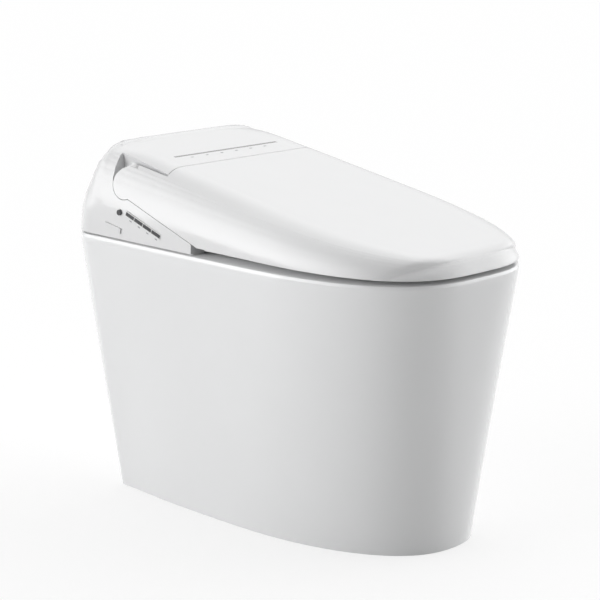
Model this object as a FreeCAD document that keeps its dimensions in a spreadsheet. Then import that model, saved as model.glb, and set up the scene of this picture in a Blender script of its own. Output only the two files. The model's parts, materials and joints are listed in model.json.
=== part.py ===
"""Smart toilet with a heated seat: skirted ceramic pan, rear housing, seat and lid on one hinge line.

Millimetres, +Z up. The origin is on the floor under the middle of the outer box, -Y is the nose of
the bowl, +Y the wall behind the pan, and -X the side that carries the manual keys.
"""
import FreeCAD
import Part
import Sketcher
import math
import os
import re
from FreeCAD import Placement, Rotation, Vector

DOC = FreeCAD.newDocument("smart_toilet")
SHEET = DOC.addObject("Spreadsheet::Sheet", "Sizes")

SIZES = {
    # plan of the rim, and of the foot of the skirt
    "length": 690, "rim_half_width": 194, "rim_back_half_width": 190, "rim_corner": 50,
    "rim_widest_back": 269, "rim_fullness": 3.2, "nose_roundness": 2.14,
    "foot_back_inset": 58, "foot_nose_inset": 46, "foot_half_width": 156, "foot_back_half_width": 143,
    "foot_corner": 12, "foot_fullness": 2.33,
    # heights
    "rim_height": 418, "rim_edge": 6, "crest_height": 560, "lid_nose_height": 448,
    "lid_back_height": 525.5, "seam_step": 4,
    # ceramic
    "skirt_wall": 12, "deck_thick": 14, "bowl_wall": 10, "bowl_back": 94, "bowl_half_width": 118,
    "bowl_front_rim": 95, "sump_back": -25, "sump_floor": 118, "sump_half_width": 26,
    "spigot_wall": 12, "spigot_end": 45, "trap_height": 152, "weir_height": 262,
    "trap_bore": 60, "trap_wall": 6, "outlet_back": 180, "trap_bend": 38, "trap_run": 68,
    "flange_bore": 76, "flange_outer": 132, "flange_thick": 12, "flange_bolt_circle": 106,
    "flange_bolt": 7, "seal_thick": 16, "seal_outer": 104,
    # housing
    "tray_thick": 2, "tray_inset": 3, "shell_wall": 3, "parting_gap": 1,
    "hinge_back": 216, "hinge_height": 511, "hinge_sweep": 79, "ear_radius": 28, "lid_open": 102, "lid_open_margin": 2,
    "cheek_tip": 55, "cheek_inner": 164, "centre_half_width": 165,
    "diagonal_low_back": 43, "diagonal_low_height": 432, "diagonal_rise": 60, "diagonal_run": 182,
    "crest_back": 269, "lid_shoulder": 15, "lid_nose_shoulder": 6, "housing_shoulder": 24,
    # hinge
    "pin_radius": 6, "pin_inner": 150, "pin_outer": 184, "pin_fit": 0.05,
    "damper_inner": 118, "damper_radius": 13, "damper_flange": 17,
    # seat
    "seat_gap": 8, "seat_inset": 12, "seat_nose_height": 441, "seat_slope": 0.045,
    "seat_back": 130, "seat_hole_back": 55, "seat_hole_length": 280, "seat_hole_half_width": 98,
    "seat_neck_half_width": 162, "seat_neck_back": 38, "seat_neck_corner": 12, "seat_base_thick": 2.5,
    "arm_inner": 166.2, "arm_thick": 10.4, "arm_depth": 16, "arm_clearance": 3, "hub_radius": 27.5,
    "heater_thick": 0.8, "heater_edge": 18, "bumper_radius": 9, "bumper_gap": 0.3,
    # lid
    "lid_low_nose": 424, "lid_low_back": 431.5, "ear_inner": 177.6, "liner_thick": 2,
    "liner_nose_height": 444, "liner_slope": 0.1, "liner_fit": 0.3, "lid_bumper_radius": 7,
    # display in the top of the housing
    "lens_half_length": 107.6, "lens_depth": 5, "lens_thick": 3.4, "lens_back": 180, "lens_fit": 0.2,
    "board_thick": 1.6,
    # controls on the -X cheek
    "key_length": 19, "key_height": 5, "key_pitch": 21, "key_count": 4, "key_travel": 1,
    "key_fit": 0.3, "bezel_border": 1.6, "bezel_thick": 5, "key_stem": 6, "key_proud": 0.5, "carrier_gap": 0.3,
    "bar_back": 163, "bar_height": 449.5, "side_reach": 193.4,
    "power_radius": 4.5, "power_back": 219, "power_height": 462,
    "tab_length": 38, "tab_height": 8, "tab_back": 234, "tab_mid_height": 436,
    # washing nozzle
    "slot_half_width": 24, "slot_end": 222, "slot_floor": 392, "nozzle_tilt": 14,
    "guide_back": 150, "guide_height": 418.5, "guide_length": 150, "guide_width": 30, "saddle_short": 12,
    "guide_below": 13, "guide_above": 14, "wand_radius": 8, "wand_fit": 0.06, "wand_ahead": 22,
    "wand_length": 156, "tip_length": 14, "rack_start": 28, "rack_width": 5, "rack_web": 1.5,
    "gear_module": 1, "pinion_teeth": 14, "pinion_width": 5.4, "pinion_at": 35, "backlash": 0.3,
    "shaft_radius": 1.5, "motor_radius": 12, "motor_length": 18, "motor_inner": 17, "motor_foot": 12,
    # electrics and water in the housing
    "heater_left": -152, "heater_front": 150, "heater_length": 100, "heater_width": 92,
    "heater_height": 62, "heater_round": 8,
    "valve_middle": -110, "valve_back": 263, "valve_size": 36, "valve_height": 34,
    "pipe_radius": 7, "pipe_wall": 1, "inlet_height": 150, "inlet_radius": 10.48,
    "inlet_thread": 14, "inlet_neck": 6, "inlet_relief": 0.9, "inlet_flange": 17, "inlet_collar": 2, "inlet_clear": 2.6, "pipe_bend": 22,
    "supply_left": 50, "supply_front": 252, "supply_length": 84, "supply_width": 66,
    "supply_height": 40, "blower_middle": 106, "blower_back": 202, "blower_radius": 34,
    "blower_height": 30, "blower_wall": 2, "impeller_radius": 24, "impeller_height": 20,
    "blade_count": 12, "duct_width": 28, "duct_height": 18, "duct_wall": 1.6,
    "board_left": -84, "board_front": 296, "board_length": 120, "board_width": 34,
    "post_height": 6, "post_radius": 3,
    "bolt_radius": 4, "bolt_spread": 150, "bolt_back": 255, "bolt_head_radius": 8,
    "bolt_head_height": 5, "bolt_nut": 8, "gland_radius": 7, "gland_left": 130, "gland_height": 452,
}


class Values:
    """Reads the current value of a size from the sheet by its name."""

    def __getattr__(self, alias):
        return float(SHEET.get(alias))


S = Values()
OUT = {}
FAR = 600


def fill_sheet():
    for row, (alias, value) in enumerate(SIZES.items(), 1):
        SHEET.set(f"A{row}", alias)
        SHEET.set(f"B{row}", str(value))
        SHEET.setAlias(f"B{row}", alias)
    DOC.recompute()


def rule(text):
    """An expression in which every bare word is a size of the sheet."""
    return re.sub(r"[a-z][a-z_0-9]*", lambda word: "Sizes." + word.group(), str(text))


def bind(item, rules):
    for prop, text in rules.items():
        item.setExpression(prop, rule(text))
    return item


def at(item, x, y, z):
    return bind(item, {"Placement.Base.x": x, "Placement.Base.y": y, "Placement.Base.z": z})


def turned(item, axis, degrees):
    item.Placement.Rotation = Rotation(axis, degrees)
    return item


def block(name, corner, size):
    item = DOC.addObject("Part::Box", name)
    bind(item, {"Length": size[0], "Width": size[1], "Height": size[2]})
    return at(item, *corner)


def rod(name, base, axis, radius, height):
    """Cylinder from base along +X, +Y or +Z."""
    item = DOC.addObject("Part::Cylinder", name)
    bind(item, {"Radius": radius, "Height": height})
    at(item, *base)
    if axis == "x":
        turned(item, Vector(0, 1, 0), 90)
    if axis == "y":
        turned(item, Vector(1, 0, 0), -90)
    return item


def fuse(name, items):
    joined = DOC.addObject("Part::MultiFuse", name)
    joined.Shapes = items
    joined.Refine = True
    return joined


def cut(name, base, tool):
    rest = DOC.addObject("Part::Cut", name)
    rest.Base = base
    rest.Tool = tool
    return rest


def feature(name, shape):
    item = DOC.addObject("Part::Feature", name)
    item.Shape = shape
    return item


def give(label, item):
    """Marks an object as one finished piece under its own label."""
    item.Label = label
    OUT[label] = item
    return item


# ---------------------------------------------------------------- outlines and ring lofts

class Outline:
    """Half-symmetric plan: flat back, round corners, gently bowed sides and a round nose."""

    NOSE_STEPS = 9
    SIDE_STEPS = 3

    def __init__(self, back, nose, half_width, back_half_width, fullness, roundness, widest, corner):
        self.back = back
        self.nose = nose
        self.half_width = half_width
        self.back_half_width = back_half_width
        self.fullness = fullness
        self.roundness = roundness
        self.widest = widest
        self.corner = corner

    def inset(self, side, nose=None, back=None):
        nose = side if nose is None else nose
        back = side if back is None else back
        return Outline(self.back - back, self.nose + nose, self.half_width - side,
                       self.back_half_width - side, self.fullness, self.roundness, self.widest,
                       max(self.corner - side, 2))

    def right_points(self):
        start = self.back - self.corner
        points = [(self.back_half_width, start)]
        for step in range(1, self.SIDE_STEPS):
            part = step / self.SIDE_STEPS
            bow = 1 - (1 - part) ** 2
            x = self.back_half_width + (self.half_width - self.back_half_width) * bow
            points.append((x, start + (self.widest - start) * part))
        for step in range(self.NOSE_STEPS):
            angle = math.pi / 2 * step / self.NOSE_STEPS
            x = self.half_width * math.cos(angle) ** (2 / self.fullness)
            y = self.widest + (self.nose - self.widest) * math.sin(angle) ** (2 / self.roundness)
            points.append((x, y))
        return points

    def wire(self, height):
        """Closed wire whose height is a function of y that is straight, so the ring is flat."""
        slope = height(1) - height(0)

        def lift(x, y):
            return Vector(x, y, height(y))

        right = self.right_points()
        path = [lift(-x, y) for x, y in right] + [lift(0, self.nose)]
        path += [lift(x, y) for x, y in reversed(right)]
        bow = Part.BSplineCurve()
        bow.interpolate(Points=path, InitialTangent=Vector(0, -1, -slope), FinalTangent=Vector(0, 1, slope))
        flat = self.back_half_width - self.corner
        bend = self.corner * (1 - math.sqrt(0.5))
        left_end = lift(-flat, self.back)
        right_end = lift(flat, self.back)
        left = self.corner_curve(left_end, lift(bend - self.back_half_width, self.back - bend), path[0],
                                 Vector(-1, 0, 0), Vector(0, -1, -slope))
        right = self.corner_curve(path[-1], lift(self.back_half_width - bend, self.back - bend),
                                  right_end, Vector(0, 1, slope), Vector(-1, 0, 0))
        line = Part.LineSegment(right_end, left_end).toShape()
        return Part.Wire([left, bow.toShape(), right, line])

    @staticmethod
    def corner_curve(start, middle, end, start_way, end_way):
        curve = Part.BSplineCurve()
        curve.interpolate(Points=[start, middle, end], InitialTangent=start_way, FinalTangent=end_way)
        return curve.toShape()


def level(z):
    return lambda y: z


def between(low, high, share):
    """Height line a share of the way from the line low to the line high."""
    return lambda y: low(y) + share * (high(y) - low(y))


def slanted(y, z, slope):
    return lambda at_y: z + slope * (at_y - y)


def ring_loft(rings, ruled=False):
    """Solid through (outline, height) rings, from the lowest up."""
    return Part.makeLoft([outline.wire(height) for outline, height in rings], True, ruled)


def side_prism(points, x_low, x_high):
    """Prism along X of a (y, z) profile."""
    corners = [Vector(x_low, y, z) for y, z in points]
    face = Part.Face(Part.makePolygon(corners + corners[:1]))
    return face.extrude(Vector(x_high - x_low, 0, 0))


def box(x0, x1, y0, y1, z0, z1):
    return Part.makeBox(x1 - x0, y1 - y0, z1 - z0, Vector(x0, y0, z0))


def cylinder(point, way, radius, length):
    return Part.makeCylinder(radius, length, Vector(*point), Vector(*way))


def both_sides(shape):
    return [shape, shape.mirror(Vector(0, 0, 0), Vector(1, 0, 0))]


def rim_outline():
    back = S.length / 2
    return Outline(back, -back, S.rim_half_width, S.rim_back_half_width, S.rim_fullness,
                   S.nose_roundness, S.rim_widest_back - S.length / 2, S.rim_corner)


def foot_outline():
    back = S.length / 2
    return Outline(back - S.foot_back_inset, -back + S.foot_nose_inset, S.foot_half_width,
                   S.foot_back_half_width, S.foot_fullness, S.nose_roundness, 0, S.foot_corner)


# ---------------------------------------------------------------- ceramic pan and its drain

def oval(z, back, half_width, length):
    """Horizontal ellipse given by its rearmost point."""
    return level_ellipse(0, back - length / 2, z, half_width, length / 2)


def level_ellipse(x, y, z, half_width, half_length):
    long_way = max(half_width, half_length)
    short_way = min(half_width, half_length)
    shape = Part.Ellipse(Vector(0, 0, 0), long_way, short_way).toShape()
    if half_length >= half_width:
        shape.rotate(Vector(0, 0, 0), Vector(0, 0, 1), 90)
    shape.translate(Vector(x, y, z))
    return Part.Wire(shape)


def bowl_solid(grow, top):
    """The funnel of the bowl, grown outwards by grow for its outer face."""
    front = -S.length / 2 + S.bowl_front_rim
    length = S.bowl_back - front
    height = S.rim_height - S.sump_floor
    sump_length = 2.4 * S.sump_half_width
    shares = [(0, 0), (0.1, 0.16), (0.27, 0.34), (0.5, 0.68), (0.74, 0.93), (0.9, 1)]
    rings = []
    for climb, spread in shares:
        half_width = S.sump_half_width + spread * (S.bowl_half_width - S.sump_half_width)
        span = sump_length + spread * (length - sump_length)
        back = S.sump_back + sump_length / 2 + spread * (S.bowl_back - S.sump_back - sump_length / 2)
        z = S.sump_floor + climb * height - (grow if climb == 0 else 0)
        rings.append(oval(z, back + grow, half_width + grow, span + 2 * grow))
    rings.append(oval(top, S.bowl_back + grow, S.bowl_half_width + grow, length + 2 * grow))
    return Part.makeLoft(rings, True, False)


def nozzle_slot(top):
    return box(-S.slot_half_width, S.slot_half_width, S.bowl_back - 20, S.slot_end, S.slot_floor, top)


def ceramic_skirt():
    """Outer wall and deck of the pan, open below."""
    rim = rim_outline()
    foot = foot_outline()
    top = S.rim_height
    edge = S.rim_edge
    skirt = ring_loft([(foot, level(0)), (rim.inset(0.8), level(top - 2.6 * edge)), (rim, level(top - edge)),
                       (rim.inset(edge * 0.3), level(top - edge * 0.3)), (rim.inset(edge), level(top))], True)
    wall = S.skirt_wall
    hollow = ring_loft([(foot.inset(wall), level(-1)), (rim.inset(wall + 1), level(top - S.deck_thick))], True)
    drills = [hollow, bowl_solid(0, top + 1), nozzle_slot(top + 1)]
    drills.append(cylinder((S.valve_middle, S.valve_back, top - S.deck_thick - 1), (0, 0, 1),
                           S.pipe_radius + 1, S.deck_thick + 2))
    drills.append(cylinder((S.valve_middle, S.valve_back, S.inlet_height), (0, 1, 0),
                           S.inlet_radius + 0.5, S.length / 2 - S.valve_back))
    for side in (-1, 1):
        drills.append(cylinder((side * S.bolt_spread, S.bolt_back, top - S.deck_thick - 1), (0, 0, 1),
                               S.bolt_radius + 0.5, S.deck_thick + 2))
    return give("ceramic_skirt", feature("Skirt", skirt.cut(drills)))


def ceramic_bowl():
    """Funnel of the bowl, cast on under the deck, with the spigot that feeds the trap."""
    under = S.rim_height - S.deck_thick
    reach = S.spigot_end - S.sump_back
    bore = S.trap_bore / 2
    spigot = cylinder((0, S.sump_back, S.trap_height), (0, 1, 0), bore + S.spigot_wall, reach)
    drill = cylinder((0, S.sump_back, S.trap_height), (0, 1, 0), bore, reach + 1)
    solid = bowl_solid(S.bowl_wall, under).fuse(spigot)
    return give("ceramic_bowl", feature("Bowl", solid.cut([bowl_solid(0, under + 1), drill, nozzle_slot(FAR)])))


def bent_path(points, radius):
    """Straight runs in the plane of the points, joined by tangent arcs of one radius."""
    edges = []
    start = points[0]
    for before, corner, after in zip(points, points[1:], points[2:]):
        back_way = (before - corner).normalize()
        on_way = (after - corner).normalize()
        half = back_way.getAngle(on_way) / 2
        reach = radius / math.tan(half)
        first = corner + back_way * reach
        last = corner + on_way * reach
        middle_way = (back_way + on_way).normalize()
        middle = corner + middle_way * (radius / math.sin(half) - radius)
        edges += [Part.LineSegment(start, first).toShape(), Part.Arc(first, middle, last).toShape()]
        start = last
    edges.append(Part.LineSegment(start, points[-1]).toShape())
    return Part.Wire(edges)


def tube(points, bend, outer, inner):
    path = bent_path(points, bend)
    way = points[1] - points[0]
    solids = []
    for radius in (outer, inner):
        ring = Part.Wire(Part.Circle(points[0], way, radius).toShape())
        solids.append(path.makePipeShell([ring], True, False))
    return solids[0].cut(solids[1])


def drain():
    bore = S.trap_bore / 2
    rise = Vector(0, S.outlet_back - S.trap_run, S.weir_height)
    foot = Vector(0, S.spigot_end + S.trap_bend - 1, S.trap_height)
    points = [Vector(0, S.spigot_end, S.trap_height), foot, rise,
              Vector(0, S.outlet_back, S.weir_height), Vector(0, S.outlet_back, S.flange_thick + 1)]
    give("trapway_pipe", feature("Trapway", tube(points, S.trap_bend, bore + S.trap_wall, bore)))
    seal_outer = rod("SealOuter", ("0", "outlet_back", "flange_thick"), "z", "seal_outer / 2", "seal_thick")
    seal_inner = rod("SealInner", ("0", "outlet_back", "flange_thick"), "z",
                     "trap_bore / 2 + trap_wall", "seal_thick")
    give("trap_seal", cut("Seal", seal_outer, seal_inner))
    outlet_flange()


def new_body(name):
    return DOC.addObject("PartDesign::Body", name)


def base_plane(body, role):
    return [plane for plane in body.Origin.OriginFeatures if plane.Role == role][0]


def new_sketch(body, name, role):
    sketch = body.newObject("Sketcher::SketchObject", name)
    sketch.AttachmentSupport = [(base_plane(body, role), "")]
    sketch.MapMode = "FlatFace"
    return sketch


def draw_circle(sketch, x, y, radius):
    """Circle whose centre and radius are rules; x and y of 0 sit on the sketch's origin."""
    index = sketch.addGeometry(Part.Circle(Vector(5, 5, 0), Vector(0, 0, 1), 5), False)
    if str(x) == "0" and str(y) == "0":
        sketch.addConstraint(Sketcher.Constraint("Coincident", index, 3, -1, 1))
    else:
        for kind, text in (("DistanceX", x), ("DistanceY", y)):
            number = sketch.addConstraint(Sketcher.Constraint(kind, -1, 1, index, 3, 5))
            sketch.setExpression(f"Constraints[{number}]", rule(text))
    number = sketch.addConstraint(Sketcher.Constraint("Radius", index, 5))
    sketch.setExpression(f"Constraints[{number}]", rule(radius))
    return index


def draw_polygon(sketch, points):
    """Closed polygon of fixed corners, for outlines that are worked out from the sheet."""
    ends = points[1:] + points[:1]
    for start, end in zip(points, ends):
        index = sketch.addGeometry(Part.LineSegment(Vector(*start, 0), Vector(*end, 0)), False)
        sketch.addConstraint(Sketcher.Constraint("Block", index))


def draw_box(sketch, half_x, half_y):
    """Rectangle about the sketch's origin with half sizes given as rules."""
    corners = [Vector(-9, -9, 0), Vector(9, -9, 0), Vector(9, 9, 0), Vector(-9, 9, 0)]
    first = len(sketch.Geometry)
    for start, end in zip(corners, corners[1:] + corners[:1]):
        sketch.addGeometry(Part.LineSegment(start, end), False)
    for step in range(4):
        sketch.addConstraint(Sketcher.Constraint("Coincident", first + step, 2, first + (step + 1) % 4, 1))
        kind = "Vertical" if step % 2 else "Horizontal"
        sketch.addConstraint(Sketcher.Constraint(kind, first + step))
    sketch.addConstraint(Sketcher.Constraint("Symmetric", first, 1, first + 1, 2, -1, 1))
    wide = sketch.addConstraint(Sketcher.Constraint("DistanceX", first, 1, first, 2, 18))
    sketch.setExpression(f"Constraints[{wide}]", rule(f"2 * ({half_x})"))
    high = sketch.addConstraint(Sketcher.Constraint("DistanceY", first + 1, 1, first + 1, 2, 18))
    sketch.setExpression(f"Constraints[{high}]", rule(f"2 * ({half_y})"))


def pad(body, name, sketch, length, reverse=False, middle=False):
    item = body.newObject("PartDesign::Pad", name)
    item.Profile = sketch
    item.Reversed = reverse
    item.Midplane = middle
    item.setExpression("Length", rule(length))
    sketch.Visibility = False
    return item


def pocket(body, name, sketch, reverse=False, middle=False):
    """Pocket through everything, checked to have taken something away."""
    DOC.recompute()
    before = body.Shape.Volume
    item = body.newObject("PartDesign::Pocket", name)
    item.Profile = sketch
    item.Type = "ThroughAll"
    item.Reversed = reverse
    item.Midplane = middle
    DOC.recompute()
    if item.Shape.Volume >= before:
        raise RuntimeError(f"{name} cuts nothing")
    return item


def outlet_flange():
    """Floor ring of the drain, with its bolt holes round a circle."""
    body = new_body("OutletFlange")
    ring = new_sketch(body, "OutletRing", "XY_Plane")
    draw_circle(ring, 0, 0, "flange_outer / 2")
    draw_circle(ring, 0, 0, "flange_bore / 2")
    pad(body, "OutletPlate", ring, "flange_thick")
    hole = new_sketch(body, "OutletHole", "XY_Plane")
    draw_circle(hole, "flange_bolt_circle / 2", "0.001", "flange_bolt / 2")
    first = pocket(body, "OutletDrill", hole, True)
    pattern = body.newObject("PartDesign::PolarPattern", "OutletHoles")
    pattern.Originals = [first]
    pattern.Axis = (hole, ["N_Axis"])
    pattern.Angle = 360
    pattern.Occurrences = 4
    body.Tip = pattern
    at(body, "0", "outlet_back", "0")
    return give("outlet_flange", body)


# ---------------------------------------------------------------- the two hulls of the upper part

def lid_plane(y):
    """Flat top of the lid, from its nose to the seam in front of the housing."""
    nose = -S.length / 2
    seam = S.hinge_back - S.hinge_sweep
    return S.lid_nose_height + (S.lid_back_height - S.lid_nose_height) * (y - nose) / (seam - nose)


def housing_plane(y):
    """Ridge of the housing: a step above the lid at the seam, up to the crest."""
    seam = S.hinge_back - S.hinge_sweep
    low = S.lid_back_height + S.seam_step
    return low + (S.crest_height - low) * (y - seam) / (S.crest_back - seam)


def hull(plane, wall, profile):
    """Solid between the rim outline and a slanted top; profile gives (share of height, insets)."""
    base = level(S.rim_height + S.tray_thick - (1 if wall else 0))
    rings = []
    for share, side, nose, back in profile:
        outline = rim_outline().inset(side + wall, nose + wall, back + wall)
        rings.append((outline, between(base, lambda y: plane(y) - wall, share)))
    return ring_loft(rings)


def lid_hull(wall=0):
    """Outer face of the lid as a solid, or its inner face when a wall is taken off."""
    shares = (0, 0.2, 0.4, 0.6, 0.78, 0.9, 0.97, 1)
    turn_in = (0, 0.007, 0.02, 0.053, 0.133, 0.333, 0.633, 1)
    side, nose = S.lid_shoulder, S.lid_nose_shoulder
    profile = [(share, part * side, part * nose, part * side) for share, part in zip(shares, turn_in)]
    return hull(lid_plane, wall, profile)


def housing_hull(wall=0):
    """The housing turns in slowly at the sides and in a long curve down its back."""
    shares = (0, 0.2, 0.4, 0.55, 0.68, 0.8, 0.9, 0.96, 1)
    turn_in = (0, 0.004, 0.012, 0.033, 0.075, 0.167, 0.354, 0.583, 1)
    side = S.housing_shoulder
    back = S.length / 2 - S.crest_back
    profile = [(share, part * side, part * side, part * back) for share, part in zip(shares, turn_in)]
    return hull(housing_plane, wall, profile)


def diagonal(y, drop=0):
    """Lower edge of the lid's side, which climbs from the notch to the hinge ear."""
    slope = S.diagonal_rise / S.diagonal_run
    return S.diagonal_low_height + slope * (y - S.diagonal_low_back) - drop * math.hypot(1, slope)


def hinge_rod(radius, x_low, x_high):
    return cylinder((x_low, S.hinge_back, S.hinge_height), (1, 0, 0), radius, x_high - x_low)


def centre_zone(inset):
    """Room of the housing between the hinge ears."""
    x = S.centre_half_width - inset
    reach = S.hinge_sweep - S.parting_gap / 2 - inset
    front = S.hinge_back - reach
    y, z = S.hinge_back, S.hinge_height
    low = side_prism([(front, 0), (front, z), (y, z), (y, FAR), (FAR, FAR), (FAR, 0)], -x, x)
    return low.fuse(hinge_rod(reach, -x, x).common(box(-x, x, 0, y, z, FAR)))


def ear_relief(inset, x_low, x_high):
    """What the ear and the flat strip of lid in front of it sweep as the lid opens."""
    y, z = S.hinge_back, S.hinge_height
    reach = S.ear_radius + S.parting_gap + inset
    top_slope = math.degrees(math.atan(lid_plane(1) - lid_plane(0)))
    lean = math.tan(math.radians(S.lid_open - 90 - top_slope + S.lid_open_margin))
    back = y + reach + S.parting_gap
    strip = side_prism([(y, z), (back, z), (back + lean * (FAR - z), FAR), (y - FAR, FAR), (y - FAR, z)],
                       x_low, x_high)
    return hinge_rod(reach, x_low, x_high).fuse(strip)


def side_zone(inset):
    """Room of the housing outside the ears: the cheeks below the diagonal and all behind the ear."""
    tip = S.cheek_tip + inset
    ear_front = S.hinge_back - 10 + inset
    gap = S.parting_gap + inset
    points = [(tip, 0), (tip, diagonal(tip, gap)), (ear_front, diagonal(ear_front, gap)),
              (ear_front, FAR), (FAR, FAR), (FAR, 0)]
    x = S.cheek_inner + inset
    zone = side_prism(points, x, FAR).cut(ear_relief(inset, x - 1, FAR))
    return zone.fuse(zone.mirror(Vector(0, 0, 0), Vector(1, 0, 0)))


def housing_zone(inset):
    zone = centre_zone(inset).fuse(side_zone(inset))
    if inset:
        back = S.hinge_back + S.ear_radius + 2 * S.parting_gap + inset + 4
        zone = zone.fuse(box(-FAR, FAR, back, FAR, 0, FAR))
    return zone


def tilted_box(x_half, y_half, z_low, z_high, place):
    shape = box(-x_half, x_half, -y_half, y_half, z_low, z_high)
    shape.Placement = place
    return shape


def lens_place():
    """Seat of the display lens, tangent to the ridge of the housing."""
    step = housing_plane(1) - housing_plane(0)
    return Placement(Vector(0, S.lens_back, housing_plane(S.lens_back)),
                     Rotation(Vector(1, 0, 0), math.degrees(math.atan(step))))


def side_place(y, z, tilt):
    """Seat on the -X cheek: local X runs forward along the cheek, local Z points out of it."""
    turn = Rotation(Vector(0, -1, 0), Vector(0, 0, 1), Vector(-1, 0, 0), "XYZ")
    return Placement(Vector(-S.side_reach, y, z), turn.multiply(Rotation(Vector(0, 0, 1), -tilt)))


def bar_tilt():
    """The key bar runs parallel to the diagonal above it."""
    return math.degrees(math.atan(S.diagonal_rise / S.diagonal_run))


def bezel_half(grow=0):
    long_half = ((S.key_count - 1) * S.key_pitch + S.key_length) / 2 + S.bezel_border + grow
    return long_half, S.key_height / 2 + S.bezel_border + grow


def rear_cover():
    shape = housing_hull().common(housing_zone(0))
    shape = shape.cut(housing_hull(S.shell_wall).common(housing_zone(S.shell_wall)))
    cuts = [tilted_box(S.lens_half_length + S.lens_fit, S.lens_depth / 2 + S.lens_fit, -12, 12,
                       lens_place())]
    pin = hinge_rod(S.pin_radius, -FAR, FAR)
    cuts.append(pin.common(box(-S.centre_half_width - 1, S.centre_half_width + 1, 0, FAR, 0, FAR)))
    top = S.rim_height + S.tray_thick
    slot = S.wand_radius + 3
    front = S.hinge_back - S.hinge_sweep
    cuts.append(box(-slot, slot, front - 5, front + 9, top - 1, S.guide_height + S.wand_radius + 5))
    duct = S.duct_width / 2
    cuts.append(box(S.blower_middle - duct - 10, S.blower_middle + duct - 10, front - 5, front + 9,
                    top + 4, top + 4 + S.duct_height))
    cuts.append(cylinder((S.gland_left, 0, S.gland_height), (0, 1, 0), S.gland_radius, FAR)
                .common(box(0, FAR, S.length / 2 - 12, FAR, 0, FAR)))
    long_half, high_half = bezel_half(S.key_fit)
    cuts.append(tilted_box(long_half, high_half, -14, 14, side_place(S.bar_back, S.bar_height, bar_tilt())))
    cuts.append(cylinder((-FAR, S.power_back, S.power_height), (1, 0, 0), S.power_radius + S.key_fit,
                         FAR - S.side_reach + 14))
    cuts.append(tilted_box(S.tab_length / 2 + S.key_fit, S.tab_height / 2 + S.key_fit, -14, 14,
                           side_place(S.tab_back, S.tab_mid_height, bar_tilt() / 2)))
    return give("rear_cover", feature("RearCover", shape.cut(cuts)))


def base_tray():
    """Floor of the housing, screwed down on the deck of the pan."""
    low = S.rim_height
    top = low + S.tray_thick
    sheet = ring_loft([(rim_outline().inset(S.tray_inset + S.rim_edge / 2), level(low)),
                       (rim_outline().inset(S.tray_inset + S.rim_edge / 2), level(top))])
    front = S.hinge_back - S.hinge_sweep
    zone = box(-FAR, FAR, front + 1, FAR, 0, FAR)
    for side in both_sides(box(S.cheek_inner + 1, FAR, S.cheek_tip + 1, FAR, 0, FAR)):
        zone = zone.fuse(side)
    posts = []
    for x in (S.board_left + 5, S.board_left + S.board_length - 5):
        for y in (S.board_front + 5, S.board_front + S.board_width - 5):
            posts.append(cylinder((x, y, top), (0, 0, 1), S.post_radius, S.post_height))
    drills = [box(-S.slot_half_width, S.slot_half_width, 0, S.slot_end, 0, FAR),
              cylinder((S.valve_middle, S.valve_back, low - 1), (0, 0, 1), S.pipe_radius + 1, 9)]
    for side in (-1, 1):
        drills.append(cylinder((side * S.bolt_spread, S.bolt_back, low - 1), (0, 0, 1),
                               S.bolt_radius + 0.5, 9))
    return give("base_tray", feature("Tray", sheet.common(zone).fuse(posts).cut(drills)))


# ---------------------------------------------------------------- lid

def lid_shell():
    near = S.hinge_back
    nose = -S.length / 2
    edge = [(-FAR, S.lid_low_nose + (S.lid_low_back - S.lid_low_nose) * (-FAR - nose)
             / (S.diagonal_low_back - nose)), (S.diagonal_low_back, S.lid_low_back)]
    ear_front = near - 11
    side = edge + [(S.diagonal_low_back, diagonal(S.diagonal_low_back)), (ear_front, diagonal(ear_front)),
                   (ear_front, FAR), (-FAR, FAR)]
    arm_inner = S.centre_half_width + S.parting_gap
    arms = side_prism(side, arm_inner, FAR).fuse(hinge_rod(S.ear_radius, arm_inner, FAR))
    sweep = S.hinge_sweep + S.parting_gap / 2
    front = near - sweep
    middle_profile = edge + [(front, S.lid_low_back + 4), (front, S.hinge_height), (near, S.hinge_height),
                             (near, FAR), (-FAR, FAR)]
    middle = side_prism(middle_profile, -arm_inner, arm_inner)
    middle = middle.cut(hinge_rod(sweep, -arm_inner, arm_inner))
    middle = middle.cut(box(-FAR, FAR, near - 20, FAR, 0, FAR))
    zone = middle.fuse(both_sides(arms))
    skin = lid_hull().common(zone)
    wall = S.shell_wall
    rear_wall = hinge_rod(sweep + wall, -arm_inner - wall, arm_inner + wall)
    hollow = lid_hull(wall).cut(rear_wall.common(box(-arm_inner, arm_inner, 0, near, S.hinge_height - 22, FAR)))
    plates = both_sides(hinge_rod(S.ear_radius, S.ear_inner, FAR))
    hollow = hollow.cut(plates)
    shell = skin.cut(hollow)
    cuts = [box(-FAR, FAR, near - 10, FAR, 0, S.hinge_height - S.ear_radius)]
    for hub in both_sides(hinge_rod(S.ear_radius + 0.6, S.centre_half_width - 2, S.ear_inner)):
        cuts.append(hub)
    for bore in both_sides(hinge_rod(S.pin_radius + S.pin_fit, 0, S.pin_outer + 0.5)):
        cuts.append(bore)
    return give("lid_shell", feature("Lid", shell.cut(cuts)))


def lid_liner():
    """Inner sheet of the lid, just above the seat."""
    nose = -S.length / 2
    slope = S.liner_slope
    base = S.liner_nose_height
    inside = lid_hull(S.shell_wall + S.liner_fit)
    back = S.hinge_back - S.hinge_sweep - S.shell_wall - 1
    profile = [(-FAR, base + slope * (-FAR - nose)), (back, base + slope * (back - nose)),
               (back, base + slope * (back - nose) + S.liner_thick),
               (-FAR, base + slope * (-FAR - nose) + S.liner_thick)]
    sheet = inside.common(side_prism(profile, -FAR, FAR))
    return give("lid_liner", feature("Liner", sheet))


def seat_top(y):
    return S.seat_nose_height + S.seat_slope * (y + S.length / 2)


def liner_under(y):
    return S.liner_nose_height + S.liner_slope * (y + S.length / 2)


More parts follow.
